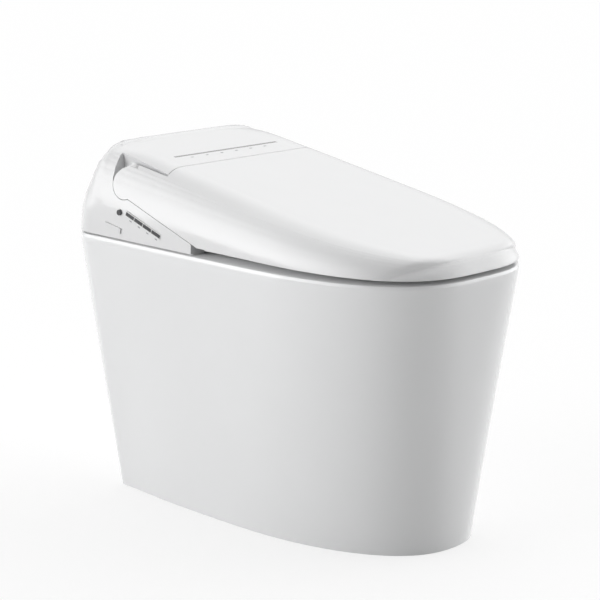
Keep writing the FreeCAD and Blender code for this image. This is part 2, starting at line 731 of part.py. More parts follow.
def lid_bumpers():
    """Two rubber pads near the nose and two near the hinge, between liner and seat."""
    spots = [(-118, -150), (118, -150), (-120, 40), (120, 40)]
    for number, (x, y) in enumerate(spots, 1):
        under = [(-FAR, liner_under(-FAR)), (FAR, liner_under(FAR)), (FAR, 0), (-FAR, 0)]
        seat_line = [(-FAR, seat_top(-FAR) + S.bumper_gap), (FAR, seat_top(FAR) + S.bumper_gap),
                     (FAR, FAR), (-FAR, FAR)]
        pad_solid = cylinder((x, y, 0), (0, 0, 1), S.lid_bumper_radius, FAR)
        pad_solid = pad_solid.common(side_prism(under, -FAR, FAR)).common(side_prism(seat_line, -FAR, FAR))
        give(f"lid_bumper_{number}", feature(f"LidBumper{number}", pad_solid))


# ---------------------------------------------------------------- seat

def seat_hole(grow, low, high):
    """Opening of the seat, flared at the top edge."""
    back = S.seat_hole_back
    length = S.seat_hole_length
    half = S.seat_hole_half_width
    top = seat_top(0)
    rings = [oval(low, back + grow, half + grow, length + 2 * grow)]
    for drop, flare in ((14, 0), (8, 2), (3.5, 6), (0, 13), (-10, 40)):
        rings.append(oval(top - drop, back + grow + flare * 0.7, half + grow + flare,
                          length + 2 * grow + 1.6 * flare))
    return Part.makeLoft(rings, True, False)


def seat_hull():
    base = level(S.rim_height + S.seat_gap)
    outer = rim_outline().inset(S.seat_inset)
    insets = [(0, 0.6), (0.45, 0), (0.7, 1), (0.86, 4), (0.96, 9), (1, 17)]
    rings = []
    for share, side in insets:
        rings.append((outer.inset(side, side, 0), between(base, seat_top, share)))
    return ring_loft(rings)


def seat_zone():
    """Plan limits of the seat: full width in front, a narrower neck between the cheeks behind."""
    back = S.seat_back
    neck = S.seat_neck_half_width
    corner = S.seat_neck_corner
    points = [(-neck, 0), (-neck, back - corner), (corner - neck, back), (neck - corner, back),
              (neck, back - corner), (neck, 0)]
    corners = [Vector(x, y, 0) for x, y in points]
    neck_room = Part.Face(Part.makePolygon(corners + corners[:1])).extrude(Vector(0, 0, FAR))
    return neck_room.fuse(box(-FAR, FAR, -FAR, S.seat_neck_back, 0, FAR))


def seat_arm():
    """Arm from the ring up to the hub on the hinge line."""
    y, z = S.hinge_back, S.hinge_height
    start = 2
    lift = S.parting_gap + S.arm_clearance
    low = S.rim_height + S.seat_gap + 3
    foot_back = S.seat_neck_back
    points = [(start, low), (foot_back - 6, low), (foot_back + 14, diagonal(foot_back + 14, -lift)),
              (y - 8, diagonal(y - 8, -lift)), (y, z), (y - 24, z - 2),
              (foot_back + 20, diagonal(foot_back + 20, -lift - S.arm_depth)), (start, seat_top(start) - 5)]
    arm = side_prism(points, S.arm_inner, S.arm_inner + S.arm_thick)
    hub = hinge_rod(S.hub_radius, S.arm_inner, S.arm_inner + S.arm_thick)
    return arm.fuse(hub)


def seat():
    """Moulded ring with its arms, closed below by a plate; the heating foil lies between the two."""
    floor = S.rim_height + S.seat_gap + S.seat_base_thick
    hull = seat_hull().common(seat_zone())
    hull = hull.cut(seat_hole(0, S.rim_height, FAR))
    plate = hull.common(box(-FAR, FAR, -FAR, FAR, 0, floor))
    foil = heating_foil(floor)
    shell = hull.common(box(-FAR, FAR, -FAR, FAR, floor, FAR)).cut(foil)
    shell = shell.fuse(both_sides(seat_arm()))
    shell = shell.cut(hinge_rod(S.pin_radius + S.pin_fit, -FAR, FAR))
    give("seat_shell", feature("SeatShell", shell))
    give("seat_base", feature("SeatBase", plate.cut(both_sides(seat_arm()))))
    give("seat_heater", feature("SeatHeater", foil))
    spots = [(-138, -120), (138, -120), (-140, 20), (140, 20)]
    for number, (x, y) in enumerate(spots, 1):
        low = S.rim_height + S.bumper_gap
        high = S.rim_height + S.seat_gap
        pad_solid = cylinder((x, y, low), (0, 0, 1), S.bumper_radius, high - low)
        give(f"seat_bumper_{number}", feature(f"SeatBumper{number}", pad_solid))


def heating_foil(floor):
    """Flat open ring that follows the seat."""
    edge = S.heater_edge
    outer = rim_outline().inset(S.seat_inset + edge)
    sheet = ring_loft([(outer, level(floor)), (outer, level(floor + S.heater_thick))], True)
    length = S.seat_hole_length + 2 * edge
    hole = Part.Face(oval(floor, S.seat_hole_back + edge, S.seat_hole_half_width + edge, length))
    sheet = sheet.cut(hole.extrude(Vector(0, 0, S.heater_thick)))
    return sheet.common(box(-FAR, FAR, -FAR, S.seat_neck_back - edge, 0, FAR))


# ---------------------------------------------------------------- hinge hardware

def hinge_hardware():
    for label, side in (("left", -1), ("right", 1)):
        sign = "-1" if side < 0 else "1"
        pin_base = "-pin_outer" if side < 0 else "pin_inner"
        pin = rod(f"Pin_{label}", (pin_base, "hinge_back", "hinge_height"), "x", "pin_radius",
                  "pin_outer - pin_inner")
        give(f"hinge_pin_{label}", pin)
        wall = "centre_half_width - shell_wall"
        base = f"-({wall})" if side < 0 else "damper_inner"
        barrel = rod(f"Barrel_{label}", (base, "hinge_back", "hinge_height"), "x", "damper_radius",
                     f"{wall} - damper_inner")
        flange_base = f"-({wall})" if side < 0 else f"{wall} - 6"
        flange = rod(f"Flange_{label}", (flange_base, "hinge_back", "hinge_height"), "x",
                     "damper_flange", "6")
        hole_base = f"-({wall}) - 1" if side < 0 else "pin_inner"
        hole = rod(f"Socket_{label}", (hole_base, "hinge_back", "hinge_height"), "x", "pin_radius",
                   f"{wall} + 1 - pin_inner")
        give(f"hinge_damper_{label}", cut(f"Damper_{label}", fuse(f"DamperBody_{label}", [barrel, flange]),
                                          hole))


# ---------------------------------------------------------------- display and side controls

def placed(item, place, z=0):
    item.Placement = place.multiply(Placement(Vector(0, 0, z), Rotation()))
    return item


def display():
    """Smoked lens let into the top of the housing, with its board right under it."""
    lens = new_body("Lens")
    face = new_sketch(lens, "LensFace", "XY_Plane")
    draw_box(face, "lens_half_length", "lens_depth / 2")
    pad(lens, "LensPad", face, "lens_thick", True)
    give("display_lens", placed(lens, lens_place()))
    board = new_body("DisplayBoard")
    plan = new_sketch(board, "DisplayPlan", "XY_Plane")
    draw_box(plan, "lens_half_length", "lens_depth")
    pad(board, "DisplayPad", plan, "board_thick", True)
    give("display_board", placed(board, lens_place(), -S.lens_thick))


def side_controls():
    """Key bar, round power button and release tab on the -X cheek."""
    bar = side_place(S.bar_back, S.bar_height, bar_tilt())
    bezel = new_body("Bezel")
    frame = new_sketch(bezel, "BezelPlan", "XY_Plane")
    border = "bezel_border"
    half = "((key_count - 1) * key_pitch + key_length) / 2"
    draw_box(frame, f"{half} + {border}", f"key_height / 2 + {border}")
    pad(bezel, "BezelPad", frame, "bezel_thick", True)
    for number in range(int(S.key_count)):
        window = new_sketch(bezel, f"Window{number}", "XY_Plane")
        middle = S.key_pitch * (number - (S.key_count - 1) / 2)
        x, y = S.key_length / 2 + S.key_fit, S.key_height / 2 + S.key_fit
        draw_polygon(window, [(middle - x, -y), (middle + x, -y), (middle + x, y), (middle - x, y)])
        pocket(bezel, f"WindowCut{number}", window)
    give("key_bezel", placed(bezel, bar))
    for number in range(int(S.key_count)):
        key = new_body(f"Key{number}")
        plan = new_sketch(key, f"KeyPlan{number}", "XY_Plane")
        draw_box(plan, "key_length / 2", "key_height / 2")
        pad(key, f"KeyPad{number}", plan, "key_stem + key_proud", True)
        middle = S.key_pitch * (number - (S.key_count - 1) / 2)
        spot = bar.multiply(Placement(Vector(middle, 0, S.key_proud), Rotation()))
        give(f"side_key_{number + 1}", placed(key, spot))
    power = new_body("Power")
    disc = new_sketch(power, "PowerFace", "XY_Plane")
    draw_circle(disc, 0, 0, "power_radius")
    pad(power, "PowerPad", disc, "key_stem + key_proud", True)
    give("power_button", placed(power, side_place(S.power_back, S.power_height, 0), S.key_proud))
    tab = new_body("Tab")
    face = new_sketch(tab, "TabFace", "XY_Plane")
    draw_box(face, "tab_length / 2", "tab_height / 2")
    pad(tab, "TabPad", face, "key_stem", True)
    give("release_tab", placed(tab, side_place(S.tab_back, S.tab_mid_height, bar_tilt() / 2)))
    carrier()


def carrier():
    """Switch carrier behind the controls, fixed inside the cheek."""
    bar = side_place(S.bar_back, S.bar_height, bar_tilt())
    body = new_body("Carrier")
    plan = new_sketch(body, "CarrierPlan", "XY_Plane")
    draw_box(plan, "((key_count - 1) * key_pitch + key_length) / 2", "key_height / 2 + bezel_border")
    behind = "key_stem + key_travel + carrier_gap"
    pad(body, "CarrierPad", plan, f"side_reach - ({behind}) - cheek_inner - shell_wall", True)
    give("key_carrier", placed(body, bar, -S.key_stem - S.key_travel - S.carrier_gap))


# ---------------------------------------------------------------- washing nozzle

def nozzle_place():
    """Frame of the nozzle: origin on its axis at the front of the guide, local +Y up and back."""
    return Placement(Vector(0, S.guide_back, S.guide_height), Rotation(Vector(1, 0, 0), S.nozzle_tilt))


def pitch():
    return math.pi * S.gear_module


def rack_height():
    """Height of the pitch line of the rack above the axis of the wand."""
    return S.wand_radius + S.rack_web + 1.2 * S.gear_module


def nozzle_guide():
    """Rail with a round bore for the wand and a slot above it for the rack and pinion."""
    body = new_body("Guide")
    section = new_sketch(body, "GuideSection", "XZ_Plane")
    half = S.guide_width / 2
    draw_polygon(section, [(-half, -S.guide_below), (half, -S.guide_below), (half, S.guide_above),
                           (-half, S.guide_above)])
    pad(body, "GuidePad", section, "guide_length", True)
    bore = new_sketch(body, "GuideBore", "XZ_Plane")
    draw_circle(bore, 0, 0, "wand_radius + wand_fit")
    pocket(body, "GuideBoreCut", bore)
    slot = new_sketch(body, "GuideSlot", "XZ_Plane")
    side = S.rack_width / 2 + 0.5
    draw_polygon(slot, [(-side, 0), (side, 0), (side, S.guide_above + 1), (-side, S.guide_above + 1)])
    pocket(body, "GuideSlotCut", slot)
    return give("nozzle_guide", placed(body, nozzle_place()))


def nozzle_saddle():
    """Wedge that carries the slanted guide on the floor of the housing."""
    top = S.rim_height + S.tray_thick
    slope = math.tan(math.radians(S.nozzle_tilt))
    drop = S.guide_below / math.cos(math.radians(S.nozzle_tilt))

    def under(y):
        return S.guide_height + slope * (y - S.guide_back) - drop

    front = S.slot_end + 2
    back = S.guide_back + S.guide_length * math.cos(math.radians(S.nozzle_tilt)) - S.saddle_short
    wedge = side_prism([(front, top), (front, under(front)), (back, under(back)), (back, top)],
                       -S.guide_width / 2, S.guide_width / 2)
    give("nozzle_saddle", feature("Saddle", wedge))


def nozzle_wand():
    """Round wand with a straight rack of pressure-angle teeth along its top."""
    body = new_body("Wand")
    section = new_sketch(body, "WandSection", "XZ_Plane")
    draw_circle(section, 0, 0, "wand_radius")
    pad(body, "WandPad", section, "wand_length", True)
    web = new_sketch(body, "RackWeb", "YZ_Plane")
    module = S.gear_module
    line = rack_height()
    start = S.rack_start + S.wand_ahead
    end = S.wand_length
    root = line - 1.2 * module
    draw_polygon(web, [(start, 0), (end, 0), (end, root), (start, root)])
    pad(body, "RackWebPad", web, "rack_width", False, True)
    tooth = new_sketch(body, "RackTooth", "YZ_Plane")
    lean = math.tan(math.radians(20))
    half = pitch() / 4 - S.backlash / 2
    low, high = -1.2 * module, 0.95 * module
    first = start + pitch() / 2 + 0.2
    draw_polygon(tooth, [(first - half + low * lean, root - 0.2), (first + half - low * lean, root - 0.2),
                         (first + half - high * lean, line + high), (first - half + high * lean, line + high)])
    single = pad(body, "RackToothPad", tooth, "rack_width", False, True)
    DOC.recompute()
    row = body.newObject("PartDesign::LinearPattern", "RackTeeth")
    row.Originals = [single]
    row.Direction = (tooth, ["H_Axis"])
    count = int((end - first) / pitch())
    row.Length = count * pitch()
    row.Occurrences = count + 1
    body.Tip = row
    place = nozzle_place().multiply(Placement(Vector(0, -S.wand_ahead, 0), Rotation()))
    body.Placement = place
    give("nozzle_wand", body)
    tip_outer = rod("TipOuter", ("0", "0", "0"), "y", "wand_radius - 0.4", "tip_length")
    spray = rod("TipSpray", ("0", "tip_length / 2", "-wand_radius"), "z", "1.2", "2 * wand_radius")
    tip = cut("Tip", tip_outer, spray)
    tip.Placement = nozzle_place().multiply(Placement(Vector(0, -S.wand_ahead - S.tip_length, 0), Rotation()))
    give("nozzle_tip", tip)


def involute_flank(base, radius):
    """Angle swept by an involute between its base circle and a radius."""
    turn = math.acos(min(1, base / radius))
    return math.tan(turn) - turn


def pinion():
    """Spur pinion with involute flanks, cut as one tooth and repeated round the hub."""
    teeth = int(S.pinion_teeth)
    module = S.gear_module
    pitch_radius = module * teeth / 2
    base = pitch_radius * math.cos(math.radians(20))
    root, tip = pitch_radius - 1.2 * module, pitch_radius + 0.9 * module
    half = math.pi / (2 * teeth) - S.backlash / (2 * pitch_radius)
    radii = [base + (tip - base) * share for share in (0, 0.35, 0.7, 1)]
    right = [(root - 0.3, half + involute_flank(base, pitch_radius))]
    right += [(r, half + involute_flank(base, pitch_radius) - involute_flank(base, r)) for r in radii]
    corners = [(r * math.cos(a), r * math.sin(a)) for r, a in right]
    corners += [(r * math.cos(a), -r * math.sin(a)) for r, a in reversed(right)]
    body = new_body("Pinion")
    hub = new_sketch(body, "PinionHub", "XY_Plane")
    draw_circle(hub, 0, 0, "(pinion_teeth / 2 - 1.2) * gear_module")
    pad(body, "PinionHubPad", hub, "pinion_width", False, True)
    tooth = new_sketch(body, "PinionTooth", "XY_Plane")
    draw_polygon(tooth, corners)
    single = pad(body, "PinionToothPad", tooth, "pinion_width", False, True)
    DOC.recompute()
    ring = body.newObject("PartDesign::PolarPattern", "PinionTeeth")
    ring.Originals = [single]
    ring.Axis = (tooth, ["N_Axis"])
    ring.Angle = 360
    ring.Occurrences = teeth
    body.Tip = ring
    bore = new_sketch(body, "PinionBore", "XY_Plane")
    draw_circle(bore, 0, 0, "shaft_radius + pin_fit")
    pocket(body, "PinionBoreCut", bore, False, True)
    place = nozzle_place().multiply(Placement(Vector(0, S.pinion_at, rack_height() + pitch_radius),
                                              Rotation(Vector(0, 1, 0), 90)))
    body.Placement = place.multiply(Placement(Vector(0, 0, 0), Rotation(Vector(0, 0, 1), pinion_phase())))
    give("nozzle_pinion", body)


def pinion_phase():
    """Turn that puts a gap of the pinion over the nearest tooth of the rack."""
    first = S.rack_start + S.wand_ahead + pitch() / 2 + 0.2 - S.wand_ahead
    ahead = (S.pinion_at - first) % pitch()
    step = 360 / S.pinion_teeth
    return step / 2 - ahead / pitch() * step


def nozzle_motor():
    """Stepper motor beside the guide, its shaft through the pinion."""
    height = rack_height() + S.gear_module * S.pinion_teeth / 2
    can = rod("MotorCan", ("0", "0", "0"), "x", "motor_radius", "motor_length")
    shaft = rod("MotorShaft", ("-motor_inner - pinion_width / 2 - 1", "0", "0"), "x", "shaft_radius",
                "motor_inner + pinion_width / 2 + 1")
    foot = block("MotorFoot", ("0", "-motor_radius", "-motor_foot"),
                 ("motor_length", "2 * motor_radius", "motor_foot"))
    motor = fuse("Motor", [can, shaft, foot])
    motor.Placement = nozzle_place().multiply(Placement(Vector(S.motor_inner, S.pinion_at, height), Rotation()))
    give("nozzle_motor", motor)


# ---------------------------------------------------------------- water, air and electrics

TRAY_TOP = "rim_height + tray_thick"


def water_heater():
    tank = block("TankBlock", ("heater_left", "heater_front", TRAY_TOP),
                 ("heater_length", "heater_width", "heater_height"))
    DOC.recompute()
    rounded = DOC.addObject("Part::Fillet", "Tank")
    rounded.Base = tank
    rounded.Edges = [(number + 1, S.heater_round, S.heater_round) for number in range(12)]
    give("water_heater", rounded)


def water_supply():
    """Wall inlet, the pipe that climbs inside the skirt, and the shut-off valve it feeds."""
    top = S.rim_height + S.tray_thick
    x, y, z = S.valve_middle, S.valve_back, S.inlet_height
    wall = skirt_back(z)
    start = wall - S.skirt_wall - S.inlet_collar - S.inlet_clear
    points = [Vector(x, start, z), Vector(x, y, z), Vector(x, y, top)]
    give("supply_pipe", feature("SupplyPipe", tube(points, S.pipe_bend, S.pipe_radius,
                                                   S.pipe_radius - S.pipe_wall)))
    thread = wall + S.inlet_neck
    end = thread + S.inlet_thread
    neck = cylinder((x, start, z), (0, 1, 0), S.inlet_radius - S.inlet_relief, thread - start)
    spout = cylinder((x, thread, z), (0, 1, 0), S.inlet_radius, S.inlet_thread)
    collar = cylinder((x, start, z), (0, 1, 0), S.inlet_flange, S.inlet_collar)
    bore = cylinder((x, start - 1, z), (0, 1, 0), S.pipe_radius, end - start + 2)
    give("water_inlet", feature("Inlet", neck.fuse([spout, collar]).cut(bore)))
    valve = block("ValveBlock", ("valve_middle - valve_size / 2", "valve_back - valve_size / 2", TRAY_TOP),
                  ("valve_size", "valve_size", "valve_height"))
    coil = rod("ValveCoil", ("valve_middle", "valve_back", TRAY_TOP + " + valve_height"), "z",
               "valve_size / 3", "valve_height / 2")
    give("inlet_valve", fuse("Valve", [valve, coil]))


def skirt_back(z):
    """How far back the outside of the skirt stands at a height."""
    share = z / (S.rim_height - 2.6 * S.rim_edge)
    foot = S.length / 2 - S.foot_back_inset
    return foot + share * (S.length / 2 - 0.8 - foot)


def dryer():
    """Blower drum, its bladed wheel and the duct to the front of the housing."""
    top = S.rim_height + S.tray_thick
    x, y = S.blower_middle, S.blower_back
    drum = cylinder((x, y, top), (0, 0, 1), S.blower_radius, S.blower_height)
    room = cylinder((x, y, top + S.blower_wall), (0, 0, 1), S.blower_radius - S.blower_wall,
                    S.blower_height - 2 * S.blower_wall)
    eye = cylinder((x, y, top + S.blower_height - S.blower_wall - 1), (0, 0, 1),
                   S.impeller_radius * 0.55, S.blower_wall + 2)
    post = cylinder((x, y, top), (0, 0, 1), S.shaft_radius, S.blower_wall + S.impeller_height)
    half = S.duct_width / 2
    front = S.hinge_back - S.hinge_sweep + S.shell_wall + S.parting_gap / 2
    lift = top + 4
    mouth = box(x - 10 - half, x - 10 + half, front, y, lift, lift + S.duct_height)
    wall = S.duct_wall
    inner = box(x - 10 - half + wall, x - 10 + half - wall, front - 1, y, lift + wall,
                lift + S.duct_height - wall)
    casing = drum.fuse(mouth).cut([room, inner, eye]).fuse(post)
    give("blower_housing", feature("Blower", casing))
    impeller()


def impeller():
    body = new_body("Impeller")
    plate = new_sketch(body, "ImpellerPlate", "XY_Plane")
    draw_circle(plate, 0, 0, "impeller_radius")
    pad(body, "ImpellerPlatePad", plate, "blower_wall")
    blade = new_sketch(body, "ImpellerBlade", "XY_Plane")
    inner, outer = S.impeller_radius * 0.55, S.impeller_radius * 0.98
    draw_polygon(blade, [(inner, -0.7), (outer, -5.2), (outer, -3.8), (inner, 0.7)])
    single = pad(body, "ImpellerBladePad", blade, "impeller_height")
    DOC.recompute()
    ring = body.newObject("PartDesign::PolarPattern", "ImpellerBlades")
    ring.Originals = [single]
    ring.Axis = (blade, ["N_Axis"])
    ring.Angle = 360
    ring.setExpression("Occurrences", rule("blade_count"))
    body.Tip = ring
    hub = new_sketch(body, "ImpellerHub", "XY_Plane")
    draw_circle(hub, 0, 0, "impeller_radius / 4")
    pad(body, "ImpellerHubPad", hub, "impeller_height / 2")
    bore = new_sketch(body, "ImpellerBore", "XY_Plane")
    draw_circle(bore, 0, 0, "shaft_radius + pin_fit")
    pocket(body, "ImpellerBoreCut", bore, True)
    at(body, "blower_middle", "blower_back", TRAY_TOP + " + blower_wall + bumper_gap")
    give("blower_impeller", body)


def electrics():
    give("power_supply", block("Supply", ("supply_left", "supply_front", TRAY_TOP),
                               ("supply_length", "supply_width", "supply_height")))
    card = block("Card", ("board_left", "board_front", TRAY_TOP + " + post_height"),
                 ("board_length", "board_width", "board_thick"))
    relay = block("Relay", ("board_left + 12", "board_front + 8", TRAY_TOP + " + post_height"),
                  ("18", "14", "15"))
    chip = block("Chip", ("board_left + 45", "board_front + 9", TRAY_TOP + " + post_height"),
                 ("16", "16", "4"))
    coil = rod("Capacitor", ("board_left + 85", "board_front + 16", TRAY_TOP + " + post_height"), "z",
               "7", "20")
    give("main_board", fuse("MainBoard", [card, relay, chip, coil]))
    gland = rod("GlandOuter", ("gland_left", "length / 2 - 16", "gland_height"), "y", "gland_radius", "16")
    bore = rod("GlandBore", ("gland_left", "length / 2 - 17", "gland_height"), "y", "gland_radius / 2", "18")
    give("cord_gland", cut("Gland", gland, bore))


def mounting_bolts():
    """Two bolts that clamp the housing tray to the deck of the pan."""
    for label, side in (("left", "-bolt_spread"), ("right", "bolt_spread")):
        head = rod(f"Head_{label}", (side, "bolt_back", TRAY_TOP), "z", "bolt_head_radius",
                   "bolt_head_height")
        shank = rod(f"Shank_{label}", (side, "bolt_back", "rim_height - deck_thick - bolt_nut"), "z",
                    "bolt_radius", "deck_thick + tray_thick + bolt_nut")
        nut = rod(f"Nut_{label}", (side, "bolt_back", "rim_height - deck_thick - bolt_nut"), "z",
                  "bolt_head_radius", "bolt_nut")
        give(f"mount_bolt_{label}", fuse(f"Bolt_{label}", [head, shank, nut]))


def check_document():
    DOC.recompute()
    for item in DOC.Objects:
        if {"Invalid", "Error"} & set(item.State):
            raise RuntimeError(f"{item.Name} failed: {item.State}")
    for label, item in OUT.items():
        if item.Shape.isNull() or not item.Shape.isValid():
            raise RuntimeError(f"{label} has no valid shape")
        solids = len(item.Shape.Solids)
        print(f"{label:24s} solids {solids} volume {item.Shape.Volume:12.1f} faces {len(item.Shape.Faces)}")


def export_parts():
    os.makedirs("parts", exist_ok=True)
    for label, item in OUT.items():
        item.Shape.exportStep(f"parts/{label}.step")


def main():
    fill_sheet()
    ceramic_skirt()
    ceramic_bowl()
    drain()
    base_tray()
    rear_cover()
    lid_shell()
    lid_liner()
    lid_bumpers()
    seat()
    hinge_hardware()
    display()
    side_controls()
    nozzle_guide()
    nozzle_saddle()
    nozzle_wand()
    pinion()
    nozzle_motor()
    water_heater()
    water_supply()
    dryer()
    electrics()
    mounting_bolts()
    check_document()
    export_parts()


main()
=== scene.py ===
"""Smart toilet with a heated seat: finishes and stage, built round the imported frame."""
import json
import math

import bmesh
import bpy
import numpy as np
from mathutils import Matrix, Vector


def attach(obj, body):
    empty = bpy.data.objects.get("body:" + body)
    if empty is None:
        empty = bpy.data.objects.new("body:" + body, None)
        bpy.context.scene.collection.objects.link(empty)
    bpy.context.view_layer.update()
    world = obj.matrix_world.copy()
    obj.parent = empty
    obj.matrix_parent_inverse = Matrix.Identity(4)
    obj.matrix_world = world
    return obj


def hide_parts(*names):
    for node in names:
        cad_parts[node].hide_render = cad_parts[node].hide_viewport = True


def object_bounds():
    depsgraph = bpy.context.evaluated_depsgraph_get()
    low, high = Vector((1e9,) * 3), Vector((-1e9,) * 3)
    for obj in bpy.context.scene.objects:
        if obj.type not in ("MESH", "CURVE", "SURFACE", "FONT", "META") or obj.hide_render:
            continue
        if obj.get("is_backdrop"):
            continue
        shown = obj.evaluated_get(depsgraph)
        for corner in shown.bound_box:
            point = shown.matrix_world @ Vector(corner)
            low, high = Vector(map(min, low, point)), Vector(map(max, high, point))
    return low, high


bl_info = {
    "name": "Smart toilet",
    "version": (1, 0, 0),
    "blender": (4, 5, 0),
    "location": "View3D > Sidebar > Toilet",
    "description": "Dresses a toilet with a heated seat and sets its studio",
    "category": "Object",
}

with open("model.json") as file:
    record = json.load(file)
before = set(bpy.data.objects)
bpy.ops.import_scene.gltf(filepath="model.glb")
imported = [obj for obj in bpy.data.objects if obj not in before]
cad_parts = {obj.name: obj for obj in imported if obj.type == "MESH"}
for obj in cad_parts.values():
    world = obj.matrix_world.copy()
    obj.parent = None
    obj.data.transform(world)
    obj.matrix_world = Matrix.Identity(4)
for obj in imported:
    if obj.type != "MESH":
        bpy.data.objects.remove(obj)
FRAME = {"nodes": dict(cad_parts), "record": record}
CAD_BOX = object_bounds()
BODY_OF = {node: body for body, nodes in FRAME["record"]["behaviour"]["bodies"].items() for node in nodes}
KEY_NODES = [f"side_key_{number}" for number in range(1, 5)]
PADS = [f"{part}_bumper_{number}" for part in ("seat", "lid") for number in range(1, 5)]


# ------------------------------------------------------------------ sizes and colours

class GlazeSettings(bpy.types.PropertyGroup):
    ceramic: bpy.props.FloatVectorProperty(
        name="Glaze", description="Colour of the fired glaze", subtype="COLOR", size=4,
        default=(0.85, 0.855, 0.86, 1))
    shell: bpy.props.FloatVectorProperty(
        name="Shell", description="Colour of the moulded housing, seat and lid", subtype="COLOR", size=4,
        default=(0.78, 0.782, 0.787, 1))
    dark: bpy.props.FloatVectorProperty(
        name="Keys", description="Colour of the key bar and power button", subtype="COLOR", size=4,
        default=(0.03, 0.03, 0.034, 1))
    print_ink: bpy.props.FloatVectorProperty(
        name="Marks", description="Colour of the printed marks", subtype="COLOR", size=4,
        default=(0.22, 0.225, 0.235, 1))


class MarkSettings(bpy.types.PropertyGroup):
    count: bpy.props.IntProperty(
        name="Marks", description="Printed marks in front of the display", default=6, min=1)
    size: bpy.props.FloatProperty(
        name="Mark size", description="Width of one mark", unit="LENGTH", default=0.005)
    spread: bpy.props.FloatProperty(
        name="Spread", description="Length of the row in front of the display", unit="LENGTH", default=0.157)
    aside: bpy.props.FloatProperty(
        name="Aside", description="How far the row stands to the left of the middle", unit="LENGTH",
        default=0.004)
    display_back: bpy.props.FloatProperty(
        name="Display", description="Place of the display along the housing", unit="LENGTH", default=0.18)
    below: bpy.props.FloatProperty(
        name="Below", description="Distance of the marks under the keys", unit="LENGTH", default=0.008)
    ahead: bpy.props.FloatProperty(
        name="Ahead", description="Distance of the marks in front of the display", unit="LENGTH",
        default=0.0105)
    ink: bpy.props.FloatProperty(
        name="Ink", description="Thickness of the print", unit="LENGTH", default=0.00012)


class StageSettings(bpy.types.PropertyGroup):
    azimuth: bpy.props.FloatProperty(
        name="Azimuth", description="Camera azimuth, 0 looks along +Y", subtype="ANGLE",
        default=math.radians(-45.5))
    elevation: bpy.props.FloatProperty(
        name="Elevation", description="Camera elevation", subtype="ANGLE", default=math.radians(13.0))
    distance: bpy.props.FloatProperty(
        name="Distance", description="Camera to aim point", unit="LENGTH", default=3.2)
    aim: bpy.props.FloatVectorProperty(
        name="Aim", description="Point the camera looks at", subtype="XYZ",
        default=(-0.0087, 0.0088, 0.3277))
    lens: bpy.props.FloatProperty(
        name="Lens", description="Focal length on a 36 mm sensor, in millimetres", default=124.55)
    sky: bpy.props.FloatProperty(
        name="Sky", description="Strength of the even light all round", default=0.04)
    back_light: bpy.props.FloatProperty(
        name="Back light", description="Strength of the soft light behind and above", default=1.58)
    left_light: bpy.props.FloatProperty(
        name="Left light", description="Strength of the soft light to the left", default=4.8)
    right_light: bpy.props.FloatProperty(
        name="Right light", description="Strength of the soft light to the right", default=3.2)
    floor_half: bpy.props.FloatProperty(
        name="Floor", description="Half side of the floor", unit="LENGTH", default=40.0)
    floor_tone: bpy.props.FloatProperty(
        name="Floor tone", description="Share of the light that the floor throws back", default=0.5)
    floor_glow: bpy.props.FloatProperty(
        name="Floor white", description="White that the floor shows without light", default=0.72)
    floor_shadow: bpy.props.FloatProperty(
        name="Floor shadow", description="Share of the light that the floor shows, and loses in shadow",
        default=0.27)


# ------------------------------------------------------------------ materials

def new_material(name):
    material = bpy.data.materials.new(name)
    material.use_nodes = True
    nodes = material.node_tree.nodes
    return material, nodes, material.node_tree.links, nodes["Principled BSDF"]


def object_noise(nodes, links, scale, detail=3.0):
    place = nodes.new("ShaderNodeTexCoord")
    noise = nodes.new("ShaderNodeTexNoise")
    noise.inputs["Scale"].default_value = scale
    noise.inputs["Detail"].default_value = detail
    links.new(place.outputs["Object"], noise.inputs["Vector"])
    return noise


def ramp_between(nodes, links, source, low, high, start=0.3, stop=0.7):
    ramp = nodes.new("ShaderNodeValToRGB")
    ramp.color_ramp.elements[0].position = start
    ramp.color_ramp.elements[1].position = stop
    ramp.color_ramp.elements[0].color = low
    ramp.color_ramp.elements[1].color = high
    links.new(source, ramp.inputs["Fac"])
    return ramp


def shade(color, factor):
    return (color[0] * factor, color[1] * factor, color[2] * factor, 1)


def grey(value):
    return (value, value, value, 1)


def add_bump(nodes, links, shader, source, strength, distance):
    bump = nodes.new("ShaderNodeBump")
    bump.inputs["Strength"].default_value = strength
    bump.inputs["Distance"].default_value = distance
    links.new(source, bump.inputs["Height"])
    links.new(bump.outputs["Normal"], shader.inputs["Normal"])


def glazed_ceramic(settings):
    """White glaze: a clear wet coat over a body whose tone and gloss drift slightly."""
    material, nodes, links, shader = new_material("glazed_ceramic")
    color = tuple(settings.ceramic)
    drift = object_noise(nodes, links, 7.0)
    tone = ramp_between(nodes, links, drift.outputs["Fac"], shade(color, 0.985), color)
    links.new(tone.outputs["Color"], shader.inputs["Base Color"])
    gloss = ramp_between(nodes, links, drift.outputs["Fac"], grey(0.1), grey(0.14))
    links.new(gloss.outputs["Color"], shader.inputs["Roughness"])
    shader.inputs["Coat Weight"].default_value = 0.5
    shader.inputs["Coat Roughness"].default_value = 0.04
    ripple = object_noise(nodes, links, 28.0, 1.0)
    add_bump(nodes, links, shader, ripple.outputs["Fac"], 0.06, 0.0006)
    return material


